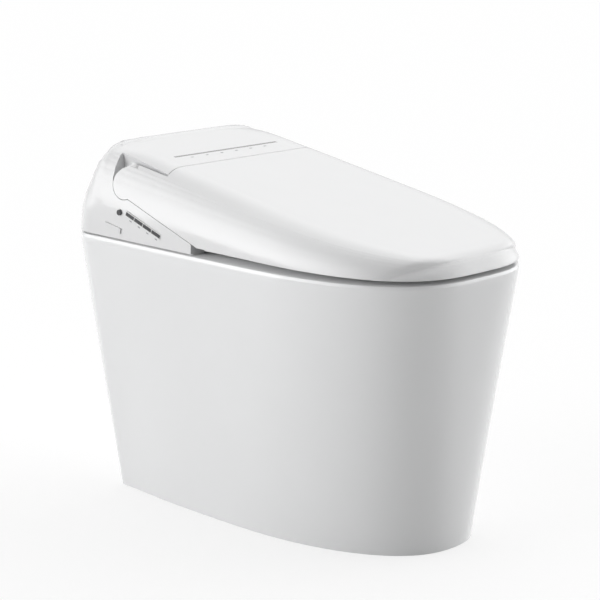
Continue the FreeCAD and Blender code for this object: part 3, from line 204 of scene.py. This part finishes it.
def gloss_shell(settings):
    """Polished white moulding with the very fine waviness of an injection-moulded skin."""
    material, nodes, links, shader = new_material("gloss_shell")
    color = tuple(settings.shell)
    drift = object_noise(nodes, links, 11.0)
    tone = ramp_between(nodes, links, drift.outputs["Fac"], shade(color, 0.99), color)
    links.new(tone.outputs["Color"], shader.inputs["Base Color"])
    gloss = ramp_between(nodes, links, drift.outputs["Fac"], grey(0.14), grey(0.19))
    links.new(gloss.outputs["Color"], shader.inputs["Roughness"])
    shader.inputs["Coat Weight"].default_value = 0.25
    shader.inputs["Coat Roughness"].default_value = 0.08
    grain = object_noise(nodes, links, 420.0, 2.0)
    add_bump(nodes, links, shader, grain.outputs["Fac"], 0.03, 0.0002)
    return material


def plain_finish(name, color, roughness, metallic=0.0, grain=600.0, bump=0.08, coat=0.0):
    """Moulded or metal finish with a fine grain in its tone, gloss and surface."""
    material, nodes, links, shader = new_material(name)
    fine = object_noise(nodes, links, grain)
    tone = ramp_between(nodes, links, fine.outputs["Fac"], shade(color, 0.94), color)
    links.new(tone.outputs["Color"], shader.inputs["Base Color"])
    gloss = ramp_between(nodes, links, fine.outputs["Fac"], grey(roughness), grey(roughness + 0.06))
    links.new(gloss.outputs["Color"], shader.inputs["Roughness"])
    shader.inputs["Metallic"].default_value = metallic
    shader.inputs["Coat Weight"].default_value = coat
    add_bump(nodes, links, shader, fine.outputs["Fac"], bump, 0.0003)
    return material


# ------------------------------------------------------------------ rolled crown

# steps of the grid along x, y and z, and of the crown's curve
GRID = (0.008, 0.006, 0.006)
CROWN_STEPS = 28

# plan of the rim, which stands round the foot of every form here
CROWN_BASE = 0.42
HALF_LENGTH = 0.345
RIM = {"half": 0.194, "back_half": 0.190, "widest": -0.076, "corner": 0.05, "fullness": 3.2,
       "roundness": 2.14}
SMALLEST_CORNER = 0.002

# rolled crown: height over the nose, slope of its ridge, and how far it rolls in on each side
ROLL = {"nose_height": 0.447, "slope": 0.1823, "side": 0.060, "nose": 0.034, "back": 0.070,
        "side_power": 2.3, "back_power": 1.8, "corner_growth": 0.6}
ROLL_CENTRES = {"back": 0.255, "nose": -0.265}

# flat tops of the solids, from the lid's nose to the seam and from the seam to the housing's crest
LID_TOP = {"start": -HALF_LENGTH, "height": 0.448, "rise": 0.0775, "run": 0.482}
HOUSING_TOP = {"start": 0.137, "height": 0.5295, "rise": 0.0305, "run": 0.132}

HAIR = 1e-9


def lid_plane(y):
    return LID_TOP["height"] + LID_TOP["rise"] * (y - LID_TOP["start"]) / LID_TOP["run"]


def housing_plane(y):
    return HOUSING_TOP["height"] + HOUSING_TOP["rise"] * (y - HOUSING_TOP["start"]) / HOUSING_TOP["run"]


def crown_plane(y):
    return ROLL["nose_height"] + ROLL["slope"] * (y + HALF_LENGTH)


LID_FORM = {
    "plane": lid_plane, "side": 0.015, "nose": 0.006, "back": 0.015,
    "shares": (0, 0.2, 0.4, 0.6, 0.78, 0.9, 0.97, 1),
    "turn_in": (0, 0.007, 0.02, 0.053, 0.133, 0.333, 0.633, 1)}
HOUSING_FORM = {
    "plane": housing_plane, "side": 0.024, "nose": 0.024, "back": 0.076,
    "shares": (0, 0.2, 0.4, 0.55, 0.68, 0.8, 0.9, 0.96, 1),
    "turn_in": (0, 0.004, 0.012, 0.033, 0.075, 0.167, 0.354, 0.583, 1)}


def ring_half_width(y, side, nose, back, corner):
    """Half width of one ring of a form at each y: bowed side, round nose and round back corners."""
    back_line, nose_line = HALF_LENGTH - back, -HALF_LENGTH + nose
    start = back_line - corner
    part = (y - start) / (RIM["widest"] - start)
    width = RIM["back_half"] - side + (RIM["half"] - RIM["back_half"]) * (1 - (1 - part) ** 2)
    run = np.clip((RIM["widest"] - y) / (RIM["widest"] - nose_line), 0, 1)
    across = np.sqrt(1 - np.minimum(run ** RIM["roundness"], 1))
    width = np.where(y < RIM["widest"], (RIM["half"] - side) * across ** (2 / RIM["fullness"]), width)
    turn = np.clip((y - start) / corner, 0, 1)
    rounded = RIM["back_half"] - side - corner * (1 - np.sqrt(1 - turn ** 2))
    width = np.where(y > start, rounded, width)
    return np.where((y >= back_line) | (y <= nose_line), 0, np.maximum(width, 0))


def section_rings(y, plane, shares, sides, noses, backs, corners):
    """Half width and height of every ring at each y; past a ring's end its place is on the mid line."""
    rise = plane(y) - CROWN_BASE
    widths, heights = [], []
    top, gone = np.full_like(y, shares[0]), np.zeros(y.shape, bool)
    for k, share in enumerate(shares):
        back_line, nose_line = HALF_LENGTH - backs[k], -HALF_LENGTH + noses[k]
        ended = (y >= back_line) | (y <= nose_line)
        if k:
            step_back = max(backs[k] - backs[k - 1], HAIR)
            step_nose = max(noses[k] - noses[k - 1], HAIR)
            part = np.where(y > 0, (HALF_LENGTH - backs[k - 1] - y) / step_back,
                            (y + HALF_LENGTH - noses[k - 1]) / step_nose)
            met = shares[k - 1] + (share - shares[k - 1]) * np.clip(part, 0, 1)
            top = np.where(gone, top, np.where(ended, met, share))
        gone = gone | ended
        widths.append(np.where(gone, 0, ring_half_width(y, sides[k], noses[k], backs[k], corners[k])))
        heights.append(top * rise)
    widths.append(np.zeros_like(y))
    heights.append(top * rise)
    return np.array(widths), np.array(heights)


def reach_along(across, up, widths, heights):
    """Distance from the centre to a ring polygon, along the ray through (across, up)."""
    length = np.hypot(across, up)
    ux, uz = across / length, up / length
    found = np.full(across.shape, np.nan)
    for k in range(len(widths) - 1):
        px, pz, qx, qz = widths[k], heights[k], widths[k + 1], heights[k + 1]
        inside = (px * uz - pz * ux >= -1e-12) & (qx * uz - qz * ux <= 1e-12)
        bottom = ux * (qz - pz) - uz * (qx - px)
        with np.errstate(divide="ignore", invalid="ignore"):
            distance = (px * (qz - pz) - pz * (qx - px)) / bottom
        use = inside & (np.abs(bottom) > 1e-12) & np.isnan(found)
        found = np.where(use, distance, found)
    return found


def roll_insets(shares):
    """Insets of the rolled crown at each share of its height: side, nose and back."""
    side = 1 - (1 - shares ** ROLL["side_power"]) ** (1 / ROLL["side_power"])
    back = 1 - (1 - shares ** ROLL["back_power"]) ** (1 / ROLL["back_power"])
    return side * ROLL["side"], side * ROLL["nose"], back * ROLL["back"]


def plain_corners(turn, plain):
    return np.maximum(RIM["corner"] - turn * plain["side"], SMALLEST_CORNER)


def draw_in(points, plain):
    """Moves points from a plain form with tight shoulders to the rolled crown, which is drawn in."""
    steps = np.sin(np.linspace(0, math.pi / 2, CROWN_STEPS)) ** (2 / ROLL["side_power"])
    shares = np.unique(np.concatenate([steps, plain["shares"]]))
    turn = np.interp(shares, plain["shares"], plain["turn_in"])
    side, nose, back = roll_insets(np.clip(shares, 0, 1))
    x, y, z = points[:, 0], points[:, 1].copy(), points[:, 2]
    inner = np.clip(y, -HALF_LENGTH + 1e-5, HALF_LENGTH - 1e-5)
    corner = plain_corners(turn, plain)
    grown = RIM["corner"] + ROLL["corner_growth"] * side
    ends = turn * plain["nose"], turn * plain["back"]
    old = section_rings(inner, plain["plane"], shares, turn * plain["side"], *ends, corner)
    new = section_rings(inner, crown_plane, shares, side, *ends, grown)
    up, across = np.maximum(z - CROWN_BASE, HAIR), np.abs(x) + HAIR
    ratio = reach_along(across, up, *new) / reach_along(across, up, *old)
    ratio = np.where(np.isfinite(ratio), ratio, 1.0)
    x, up = x * ratio, up * ratio
    for centre, sign, plain_end, rolled_end in ((ROLL_CENTRES["back"], 1, ends[1], back),
                                                (ROLL_CENTRES["nose"], -1, ends[0], nose)):
        ahead = (y - centre) * sign
        outlines = []
        for inset in (plain_end, rolled_end):
            edge = (HALF_LENGTH - inset) * sign
            run = np.append((edge - centre) * sign, 0.0)
            rise = np.append(shares * (crown_plane(edge) - CROWN_BASE), crown_plane(centre) - CROWN_BASE)
            outlines.append(reach_along(np.maximum(ahead, HAIR), up,
                                        [np.full_like(y, value) for value in run],
                                        [np.full_like(y, value) for value in rise]))
        ratio = outlines[1] / outlines[0]
        ratio = np.where(np.isfinite(ratio) & (ahead > 0), ratio, 1.0)
        y = np.where(ahead > 0, centre + (y - centre) * ratio, y)
        up = np.where(ahead > 0, up * ratio, up)
    moved = np.stack([x, y, CROWN_BASE + up], axis=1)
    return np.where((z > CROWN_BASE)[:, None], moved, points)


# ------------------------------------------------------------------ mesh helpers

WELD = 1e-6
CREASE = math.radians(28.0)
FLAT = math.radians(0.4)
MARK_HEIGHT = {"display": 0.45, "keys": 0.3}
ARM_FADE = (0.06, 0.12)


def link_piece(mesh, name, material, body):
    piece = bpy.data.objects.new(name, mesh)
    bpy.context.scene.collection.objects.link(piece)
    mesh.materials.clear()
    mesh.materials.append(material)
    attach(piece, body)
    return piece


def welded_copy(node):
    mesh = bpy.data.meshes.new(f"{node}_skin")
    work = bmesh.new()
    work.from_mesh(FRAME["nodes"][node].data)
    bmesh.ops.remove_doubles(work, verts=work.verts, dist=WELD)
    bmesh.ops.dissolve_degenerate(work, edges=work.edges, dist=WELD / 10)
    return mesh, work


def smooth_shading(work):
    """Shades a mesh smooth and keeps the edges that are steeper than the crease sharp."""
    for edge in work.edges:
        edge.smooth = len(edge.link_faces) == 2 and edge.calc_face_angle(0) < CREASE
    for face in work.faces:
        face.smooth = True
        face.material_index = 0


def hand_over(work, mesh, node, material):
    work.to_mesh(mesh)
    work.free()
    piece = link_piece(mesh, f"{node}_skin", material, BODY_OF[node])
    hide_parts(node)


def smooth_skin(node, material):
    """A welded, smooth-shaded copy of a rigid node, with its true edges kept sharp."""
    mesh, work = welded_copy(node)
    smooth_shading(work)
    hand_over(work, mesh, node, material)


def rounded_skin(node, material, plain, reach=None):
    """A skin cut into a fine grid and drawn in to the rolled crown that housing and lid share.

    With a reach, only what lies behind it is drawn in, and the change fades in along it.
    """
    mesh, work = welded_copy(node)
    bmesh.ops.dissolve_limit(work, angle_limit=FLAT, verts=work.verts, edges=work.edges)
    low = [min(vert.co[axis] for vert in work.verts) for axis in range(3)]
    high = [max(vert.co[axis] for vert in work.verts) for axis in range(3)]
    if reach is not None:
        low[1] = reach[0]
    for axis, step in enumerate(GRID):
        normal = Vector((axis == 0, axis == 1, axis == 2))
        first = math.ceil(low[axis] / step)
        for cut in range(first, math.floor(high[axis] / step) + 1):
            place = normal * (cut * step)
            if axis == 2 and place.z < CROWN_BASE:
                continue
            geometry = work.verts[:] + work.edges[:] + work.faces[:]
            bmesh.ops.bisect_plane(work, geom=geometry, dist=WELD, plane_co=place, plane_no=normal)
    bmesh.ops.triangulate(work, faces=[face for face in work.faces if len(face.verts) > 3])
    smooth_shading(work)
    points = np.array([vert.co[:] for vert in work.verts])
    drawn = draw_in(points, plain)
    if reach is not None:
        share = np.clip((points[:, 1] - reach[0]) / (reach[1] - reach[0]), 0, 1)[:, None]
        drawn = points + (drawn - points) * share * share * (3 - 2 * share)
    for vert, place in zip(work.verts, drawn):
        vert.co = place
    hand_over(work, mesh, node, material)


def paint_node(node, material):
    mesh = FRAME["nodes"][node].data
    for slot in range(max(1, len(mesh.materials))):
        if mesh.materials:
            mesh.materials[slot] = material
        else:
            mesh.materials.append(material)


# ------------------------------------------------------------------ pieces

class TOILET_OT_ceramic(bpy.types.Operator):
    """Glazed skirt and bowl"""
    bl_idname = "toilet.ceramic"
    bl_label = "Ceramic"

    def execute(self, context):
        glaze = glazed_ceramic(context.scene.toilet_glaze)
        for node in ("ceramic_skirt", "ceramic_bowl"):
            smooth_skin(node, glaze)
        return {"FINISHED"}


class TOILET_OT_shells(bpy.types.Operator):
    """Housing, lid and seat in polished white moulding"""
    bl_idname = "toilet.shells"
    bl_label = "Shells"

    def execute(self, context):
        shell = gloss_shell(context.scene.toilet_glaze)
        for node in ("rear_cover", "release_tab"):
            rounded_skin(node, shell, HOUSING_FORM)
        for node in ("lid_shell", "lid_liner"):
            rounded_skin(node, shell, LID_FORM)
        rounded_skin("seat_shell", shell, LID_FORM, reach=ARM_FADE)
        for node in ("seat_base", "base_tray"):
            smooth_skin(node, shell)
        return {"FINISHED"}


class TOILET_OT_controls(bpy.types.Operator):
    """Key bar, power button and display lens"""
    bl_idname = "toilet.controls"
    bl_label = "Controls"

    def execute(self, context):
        dark = plain_finish("dark_gloss", tuple(context.scene.toilet_glaze.dark), 0.12, coat=0.5, bump=0.02)
        for node in ["power_button"] + KEY_NODES:
            rounded_skin(node, dark, HOUSING_FORM)
        lens = plain_finish("smoked_lens", grey(0.16), 0.1, coat=0.5, bump=0.01)
        rounded_skin("display_lens", lens, HOUSING_FORM)
        white = plain_finish("white_trim", grey(0.75), 0.3)
        for node in ("key_bezel", "key_carrier", "display_board"):
            rounded_skin(node, white, HOUSING_FORM)
        return {"FINISHED"}


def mark_row(name, count, start, step, size):
    """A row of small flat bars along a line, made with a node tree and turned into a mesh."""
    tree = bpy.data.node_groups.new(name, "GeometryNodeTree")
    sockets = {"Count": ("NodeSocketInt", count), "Start": ("NodeSocketVector", start),
               "Step": ("NodeSocketVector", step), "Size": ("NodeSocketVector", size)}
    for label, (kind, _) in sockets.items():
        tree.interface.new_socket(label, in_out="INPUT", socket_type=kind)
    tree.interface.new_socket("Geometry", in_out="OUTPUT", socket_type="NodeSocketGeometry")
    nodes, links = tree.nodes, tree.links
    given, result = nodes.new("NodeGroupInput"), nodes.new("NodeGroupOutput")
    line, cube = nodes.new("GeometryNodeMeshLine"), nodes.new("GeometryNodeMeshCube")
    place, real = nodes.new("GeometryNodeInstanceOnPoints"), nodes.new("GeometryNodeRealizeInstances")
    ink = nodes.new("GeometryNodeSetMaterial")
    ink.inputs["Material"].default_value = bpy.data.materials["printed_ink"]
    links.new(given.outputs["Count"], line.inputs["Count"])
    links.new(given.outputs["Start"], line.inputs["Start Location"])
    links.new(given.outputs["Step"], line.inputs["Offset"])
    links.new(given.outputs["Size"], cube.inputs["Size"])
    links.new(line.outputs["Mesh"], place.inputs["Points"])
    links.new(cube.outputs["Mesh"], place.inputs["Instance"])
    links.new(place.outputs["Instances"], real.inputs["Geometry"])
    links.new(real.outputs["Geometry"], ink.inputs["Geometry"])
    links.new(ink.outputs["Geometry"], result.inputs["Geometry"])
    holder = bpy.data.objects.new(name, bpy.data.meshes.new(f"{name}_seed"))
    bpy.context.scene.collection.objects.link(holder)
    maker = holder.modifiers.new(name, "NODES")
    maker.node_group = tree
    for item in tree.interface.items_tree:
        if item.in_out == "INPUT":
            maker[item.identifier] = sockets[item.name][1]
    bpy.context.view_layer.update()
    ready = holder.evaluated_get(bpy.context.evaluated_depsgraph_get())
    mesh = bpy.data.meshes.new_from_object(ready)
    holder.modifiers.clear()
    bpy.data.objects.remove(holder)
    return mesh


def lay_mesh(mesh, place):
    points = np.array([vert.co[:] for vert in mesh.vertices])
    for vert, spot in zip(mesh.vertices, place(points)):
        vert.co = spot


def key_centre(number):
    points = np.array([vert.co[:] for vert in FRAME["nodes"][f"side_key_{number}"].data.vertices])
    return (points.min(axis=0) + points.max(axis=0)) / 2


def cheek_face(y, z):
    """Half width of the plain housing at places on its side."""
    form = HOUSING_FORM
    turn = np.array(form["turn_in"])
    corner = plain_corners(turn, form)
    widths, heights = section_rings(y, form["plane"], np.array(form["shares"]), turn * form["side"],
                                    turn * form["nose"], turn * form["back"], corner)
    return np.array([np.interp(up, heights[:-1, k], widths[:-1, k]) for k, up in enumerate(z - CROWN_BASE)])


class TOILET_OT_marks(bpy.types.Operator):
    """Plain printed bars in front of the display and under the keys"""
    bl_idname = "toilet.marks"
    bl_label = "Marks"

    def execute(self, context):
        marks = context.scene.toilet_marks
        ink = plain_finish("printed_ink", tuple(context.scene.toilet_glaze.print_ink), 0.5, bump=0.0)
        size = (marks.size, marks.size * MARK_HEIGHT["display"], marks.ink)
        gap = marks.spread / (marks.count - 1)
        start = (-marks.spread / 2 - marks.aside, marks.display_back - marks.ahead, 0)
        top = mark_row("display_marks", marks.count, start, (gap, 0, 0), size)
        lay_mesh(top, lambda points: np.stack(
            [points[:, 0], points[:, 1], crown_plane(points[:, 1]) + points[:, 2] + marks.ink / 2], axis=1))
        link_piece(top, "display_marks", ink, "pan")
        first, last = key_centre(1), key_centre(len(KEY_NODES))
        step = (last - first) / (len(KEY_NODES) - 1)
        start = (0.0, first[1], first[2] - marks.below)
        side = mark_row("key_marks", len(KEY_NODES), start, (0.0, step[1], step[2]),
                        (marks.ink, marks.size, marks.size * MARK_HEIGHT["keys"]))

        def on_cheek(points):
            lean = step[2] / step[1]
            middle = first[1] + np.round((points[:, 1] - first[1]) / step[1]) * step[1]
            z = points[:, 2] + (points[:, 1] - middle) * lean
            face = cheek_face(points[:, 1], z)
            flat = np.stack([-face, points[:, 1], z], axis=1)
            laid = draw_in(flat, HOUSING_FORM)
            laid[:, 0] -= marks.ink / 2 - points[:, 0]
            return laid

        lay_mesh(side, on_cheek)
        link_piece(side, "key_marks", ink, "pan")
        return {"FINISHED"}


class TOILET_OT_works(bpy.types.Operator):
    """Hinges, nozzle, water, air and electric parts inside the housing"""
    bl_idname = "toilet.works"
    bl_label = "Works"

    def execute(self, context):
        grey_plastic = plain_finish("moulded_grey", grey(0.42), 0.45)
        rubber = plain_finish("soft_rubber", grey(0.5), 0.7, bump=0.2)
        black = plain_finish("black_rubber", grey(0.03), 0.6, bump=0.2)
        steel = plain_finish("brushed_steel", grey(0.62), 0.28, metallic=1.0)
        brass = plain_finish("turned_brass", (0.72, 0.55, 0.26, 1), 0.25, metallic=1.0)
        chrome = plain_finish("polished_tip", grey(0.8), 0.08, metallic=1.0, bump=0.01)
        board = plain_finish("circuit_board", (0.02, 0.14, 0.06, 1), 0.35)
        foil = plain_finish("heating_foil", grey(0.6), 0.35, metallic=1.0)
        white = plain_finish("white_moulding", grey(0.75), 0.35)
        finish_of = {
            grey_plastic: ["trapway_pipe", "outlet_flange", "hinge_damper_left", "hinge_damper_right",
                           "nozzle_guide", "nozzle_saddle", "nozzle_pinion",
                           "water_heater", "blower_housing", "blower_impeller", "power_supply"],
            rubber: PADS,
            black: ["trap_seal", "cord_gland"],
            steel: ["hinge_pin_left", "hinge_pin_right", "nozzle_motor", "supply_pipe",
                    "mount_bolt_left", "mount_bolt_right"],
            brass: ["water_inlet", "inlet_valve"],
            chrome: ["nozzle_tip"],
            board: ["main_board"],
            foil: ["seat_heater"],
            white: ["nozzle_wand"],
        }
        on_housing = ("hinge_pin_left", "hinge_pin_right", "hinge_damper_left", "hinge_damper_right",
                      "cord_gland")
        for material, nodes in finish_of.items():
            for node in nodes:
                if node in on_housing:
                    rounded_skin(node, material, HOUSING_FORM)
                elif BODY_OF[node] == "lid":
                    rounded_skin(node, material, LID_FORM)
                else:
                    paint_node(node, material)
        return {"FINISHED"}


class TOILET_OT_stage(bpy.types.Operator):
    """Camera, pale floor and even studio light"""
    bl_idname = "toilet.stage"
    bl_label = "Stage"

    def execute(self, context):
        stage = context.scene.toilet_stage
        place_camera(context, stage)
        make_floor(stage)
        set_sky(context, stage)
        context.scene.view_settings.view_transform = "Standard"
        return {"FINISHED"}


def view_ways(stage):
    """Unit vectors from the camera: forward, right and up."""
    flat = math.cos(stage.elevation)
    forward = Vector((-math.sin(stage.azimuth) * flat, math.cos(stage.azimuth) * flat,
                      -math.sin(stage.elevation)))
    right = forward.cross(Vector((0, 0, 1))).normalized()
    return forward, right, right.cross(forward)


def place_camera(context, stage):
    forward, right, up = view_ways(stage)
    camera = bpy.data.cameras.new("camera")
    camera.lens = stage.lens
    camera.sensor_width = 36
    camera.clip_end = 50
    holder = bpy.data.objects.new("camera", camera)
    turn = Matrix((right, up, -forward)).transposed().to_4x4()
    holder.matrix_world = Matrix.Translation(Vector(stage.aim) - forward * stage.distance) @ turn
    context.scene.collection.objects.link(holder)
    context.scene.camera = holder


def white_when_seen(nodes, links, plain, white, output):
    """Shows plain white to the camera, to gloss and to clear surfaces, and lights with the rest."""
    path = nodes.new("ShaderNodeLightPath")
    seen = path.outputs["Is Camera Ray"]
    for ray in ("Is Glossy Ray", "Is Transmission Ray"):
        either = nodes.new("ShaderNodeMath")
        either.operation = "MAXIMUM"
        links.new(seen, either.inputs[0])
        links.new(path.outputs[ray], either.inputs[1])
        seen = either.outputs["Value"]
    mix = nodes.new("ShaderNodeMixShader")
    links.new(seen, mix.inputs["Fac"])
    links.new(plain, mix.inputs[1])
    links.new(white, mix.inputs[2])
    links.new(mix.outputs["Shader"], output)


def make_floor(stage):
    """Pale floor that keeps the shadow: part of its white is its own, the rest is the light on it."""
    mesh = bpy.data.meshes.new("floor")
    half, drop = stage.floor_half, CAD_BOX[0][2] - 0.0005
    mesh.from_pydata([(-half, -half, drop), (half, -half, drop), (half, half, drop), (-half, half, drop)],
                     [], [(0, 1, 2, 3)])
    floor = bpy.data.objects.new("floor", mesh)
    bpy.context.scene.collection.objects.link(floor)
    material, nodes, links, shader = new_material("studio_floor")
    shader.inputs["Base Color"].default_value = grey(stage.floor_tone)
    shader.inputs["Roughness"].default_value = 1.0
    shader.inputs["Specular IOR Level"].default_value = 0.0
    seen = nodes.new("ShaderNodeBsdfDiffuse")
    seen.inputs["Color"].default_value = grey(stage.floor_shadow)
    glow = nodes.new("ShaderNodeEmission")
    glow.inputs["Color"].default_value = grey(1.0)
    glow.inputs["Strength"].default_value = stage.floor_glow
    both = nodes.new("ShaderNodeAddShader")
    links.new(seen.outputs["BSDF"], both.inputs[0])
    links.new(glow.outputs["Emission"], both.inputs[1])
    white_when_seen(nodes, links, shader.outputs["BSDF"], both.outputs["Shader"],
                    nodes["Material Output"].inputs["Surface"])
    mesh.materials.append(material)
    floor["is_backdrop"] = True


def add_lobe(nodes, links, ways, total, way, power, strength):
    """Adds one broad soft light to the sky: strength times the cosine to its way, to a power."""
    toward = nodes.new("ShaderNodeVectorMath")
    toward.operation = "DOT_PRODUCT"
    toward.inputs[1].default_value = Vector(way).normalized()
    links.new(ways, toward.inputs[0])
    facing = nodes.new("ShaderNodeMath")
    facing.operation = "MAXIMUM"
    facing.inputs[1].default_value = 0.0
    links.new(toward.outputs["Value"], facing.inputs[0])
    narrow = nodes.new("ShaderNodeMath")
    narrow.operation = "POWER"
    narrow.inputs[1].default_value = power
    links.new(facing.outputs["Value"], narrow.inputs[0])
    sum_up = nodes.new("ShaderNodeMath")
    sum_up.operation = "MULTIPLY_ADD"
    sum_up.inputs[1].default_value = strength
    links.new(narrow.outputs["Value"], sum_up.inputs[0])
    if total is None:
        sum_up.inputs[2].default_value = 0.0
    else:
        links.new(total, sum_up.inputs[2])
    return sum_up.outputs["Value"]


def set_sky(context, stage):
    """Even sky with three broad soft lights in it: behind and above, to the left and to the right."""
    world = bpy.data.worlds.new("studio_sky")
    world.use_nodes = True
    nodes, links = world.node_tree.nodes, world.node_tree.links
    place = nodes.new("ShaderNodeTexCoord")
    ways = place.outputs["Generated"]
    total = add_lobe(nodes, links, ways, None, (0, 0, 1), 0.0, stage.sky)
    total = add_lobe(nodes, links, ways, total, (0.55, 0.55, 0.9), 3.0, stage.back_light)
    total = add_lobe(nodes, links, ways, total, (-1.0, 0.62, -0.02), 4.5, stage.left_light)
    total = add_lobe(nodes, links, ways, total, (1.0, -0.6, 0.1), 4.0, stage.right_light)
    plain = nodes["Background"]
    plain.inputs["Color"].default_value = grey(1.0)
    links.new(total, plain.inputs["Strength"])
    white = nodes.new("ShaderNodeBackground")
    white.inputs["Color"].default_value = grey(1.0)
    white.inputs["Strength"].default_value = 1.0
    path = nodes.new("ShaderNodeLightPath")
    mix = nodes.new("ShaderNodeMixShader")
    links.new(path.outputs["Is Camera Ray"], mix.inputs["Fac"])
    links.new(plain.outputs["Background"], mix.inputs[1])
    links.new(white.outputs["Background"], mix.inputs[2])
    links.new(mix.outputs["Shader"], nodes["World Output"].inputs["Surface"])
    context.scene.world = world


class TOILET_PT_panel(bpy.types.Panel):
    """Buttons for the toilet's pieces and its stage"""
    bl_label = "Toilet"
    bl_idname = "TOILET_PT_panel"
    bl_space_type = "VIEW_3D"
    bl_region_type = "UI"
    bl_category = "Toilet"

    def draw(self, context):
        for operator in STEPS:
            self.layout.operator(operator.bl_idname)
        for settings in ("toilet_glaze", "toilet_marks", "toilet_stage"):
            for name in getattr(context.scene, settings).__annotations__:
                self.layout.prop(getattr(context.scene, settings), name)


STEPS = (TOILET_OT_ceramic, TOILET_OT_shells, TOILET_OT_controls, TOILET_OT_marks, TOILET_OT_works,
         TOILET_OT_stage)
GROUPS = {"toilet_glaze": GlazeSettings, "toilet_marks": MarkSettings, "toilet_stage": StageSettings}


def register():
    for group in GROUPS.values():
        bpy.utils.register_class(group)
    for name, group in GROUPS.items():
        setattr(bpy.types.Scene, name, bpy.props.PointerProperty(type=group))
    for operator in STEPS:
        bpy.utils.register_class(operator)
    bpy.utils.register_class(TOILET_PT_panel)


def unregister():
    bpy.utils.unregister_class(TOILET_PT_panel)
    for operator in reversed(STEPS):
        bpy.utils.unregister_class(operator)
    for name, group in GROUPS.items():
        delattr(bpy.types.Scene, name)
        bpy.utils.unregister_class(group)


def write_sizes(visual_box):
    def plain(box):
        return [[float(value) for value in corner] for corner in box]


def main():
    register()
    bpy.ops.toilet.ceramic()
    bpy.ops.toilet.shells()
    bpy.ops.toilet.controls()
    bpy.ops.toilet.marks()
    bpy.ops.toilet.works()
    bpy.ops.toilet.stage()
    write_sizes(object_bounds())


if __name__ == "__main__":
    main()
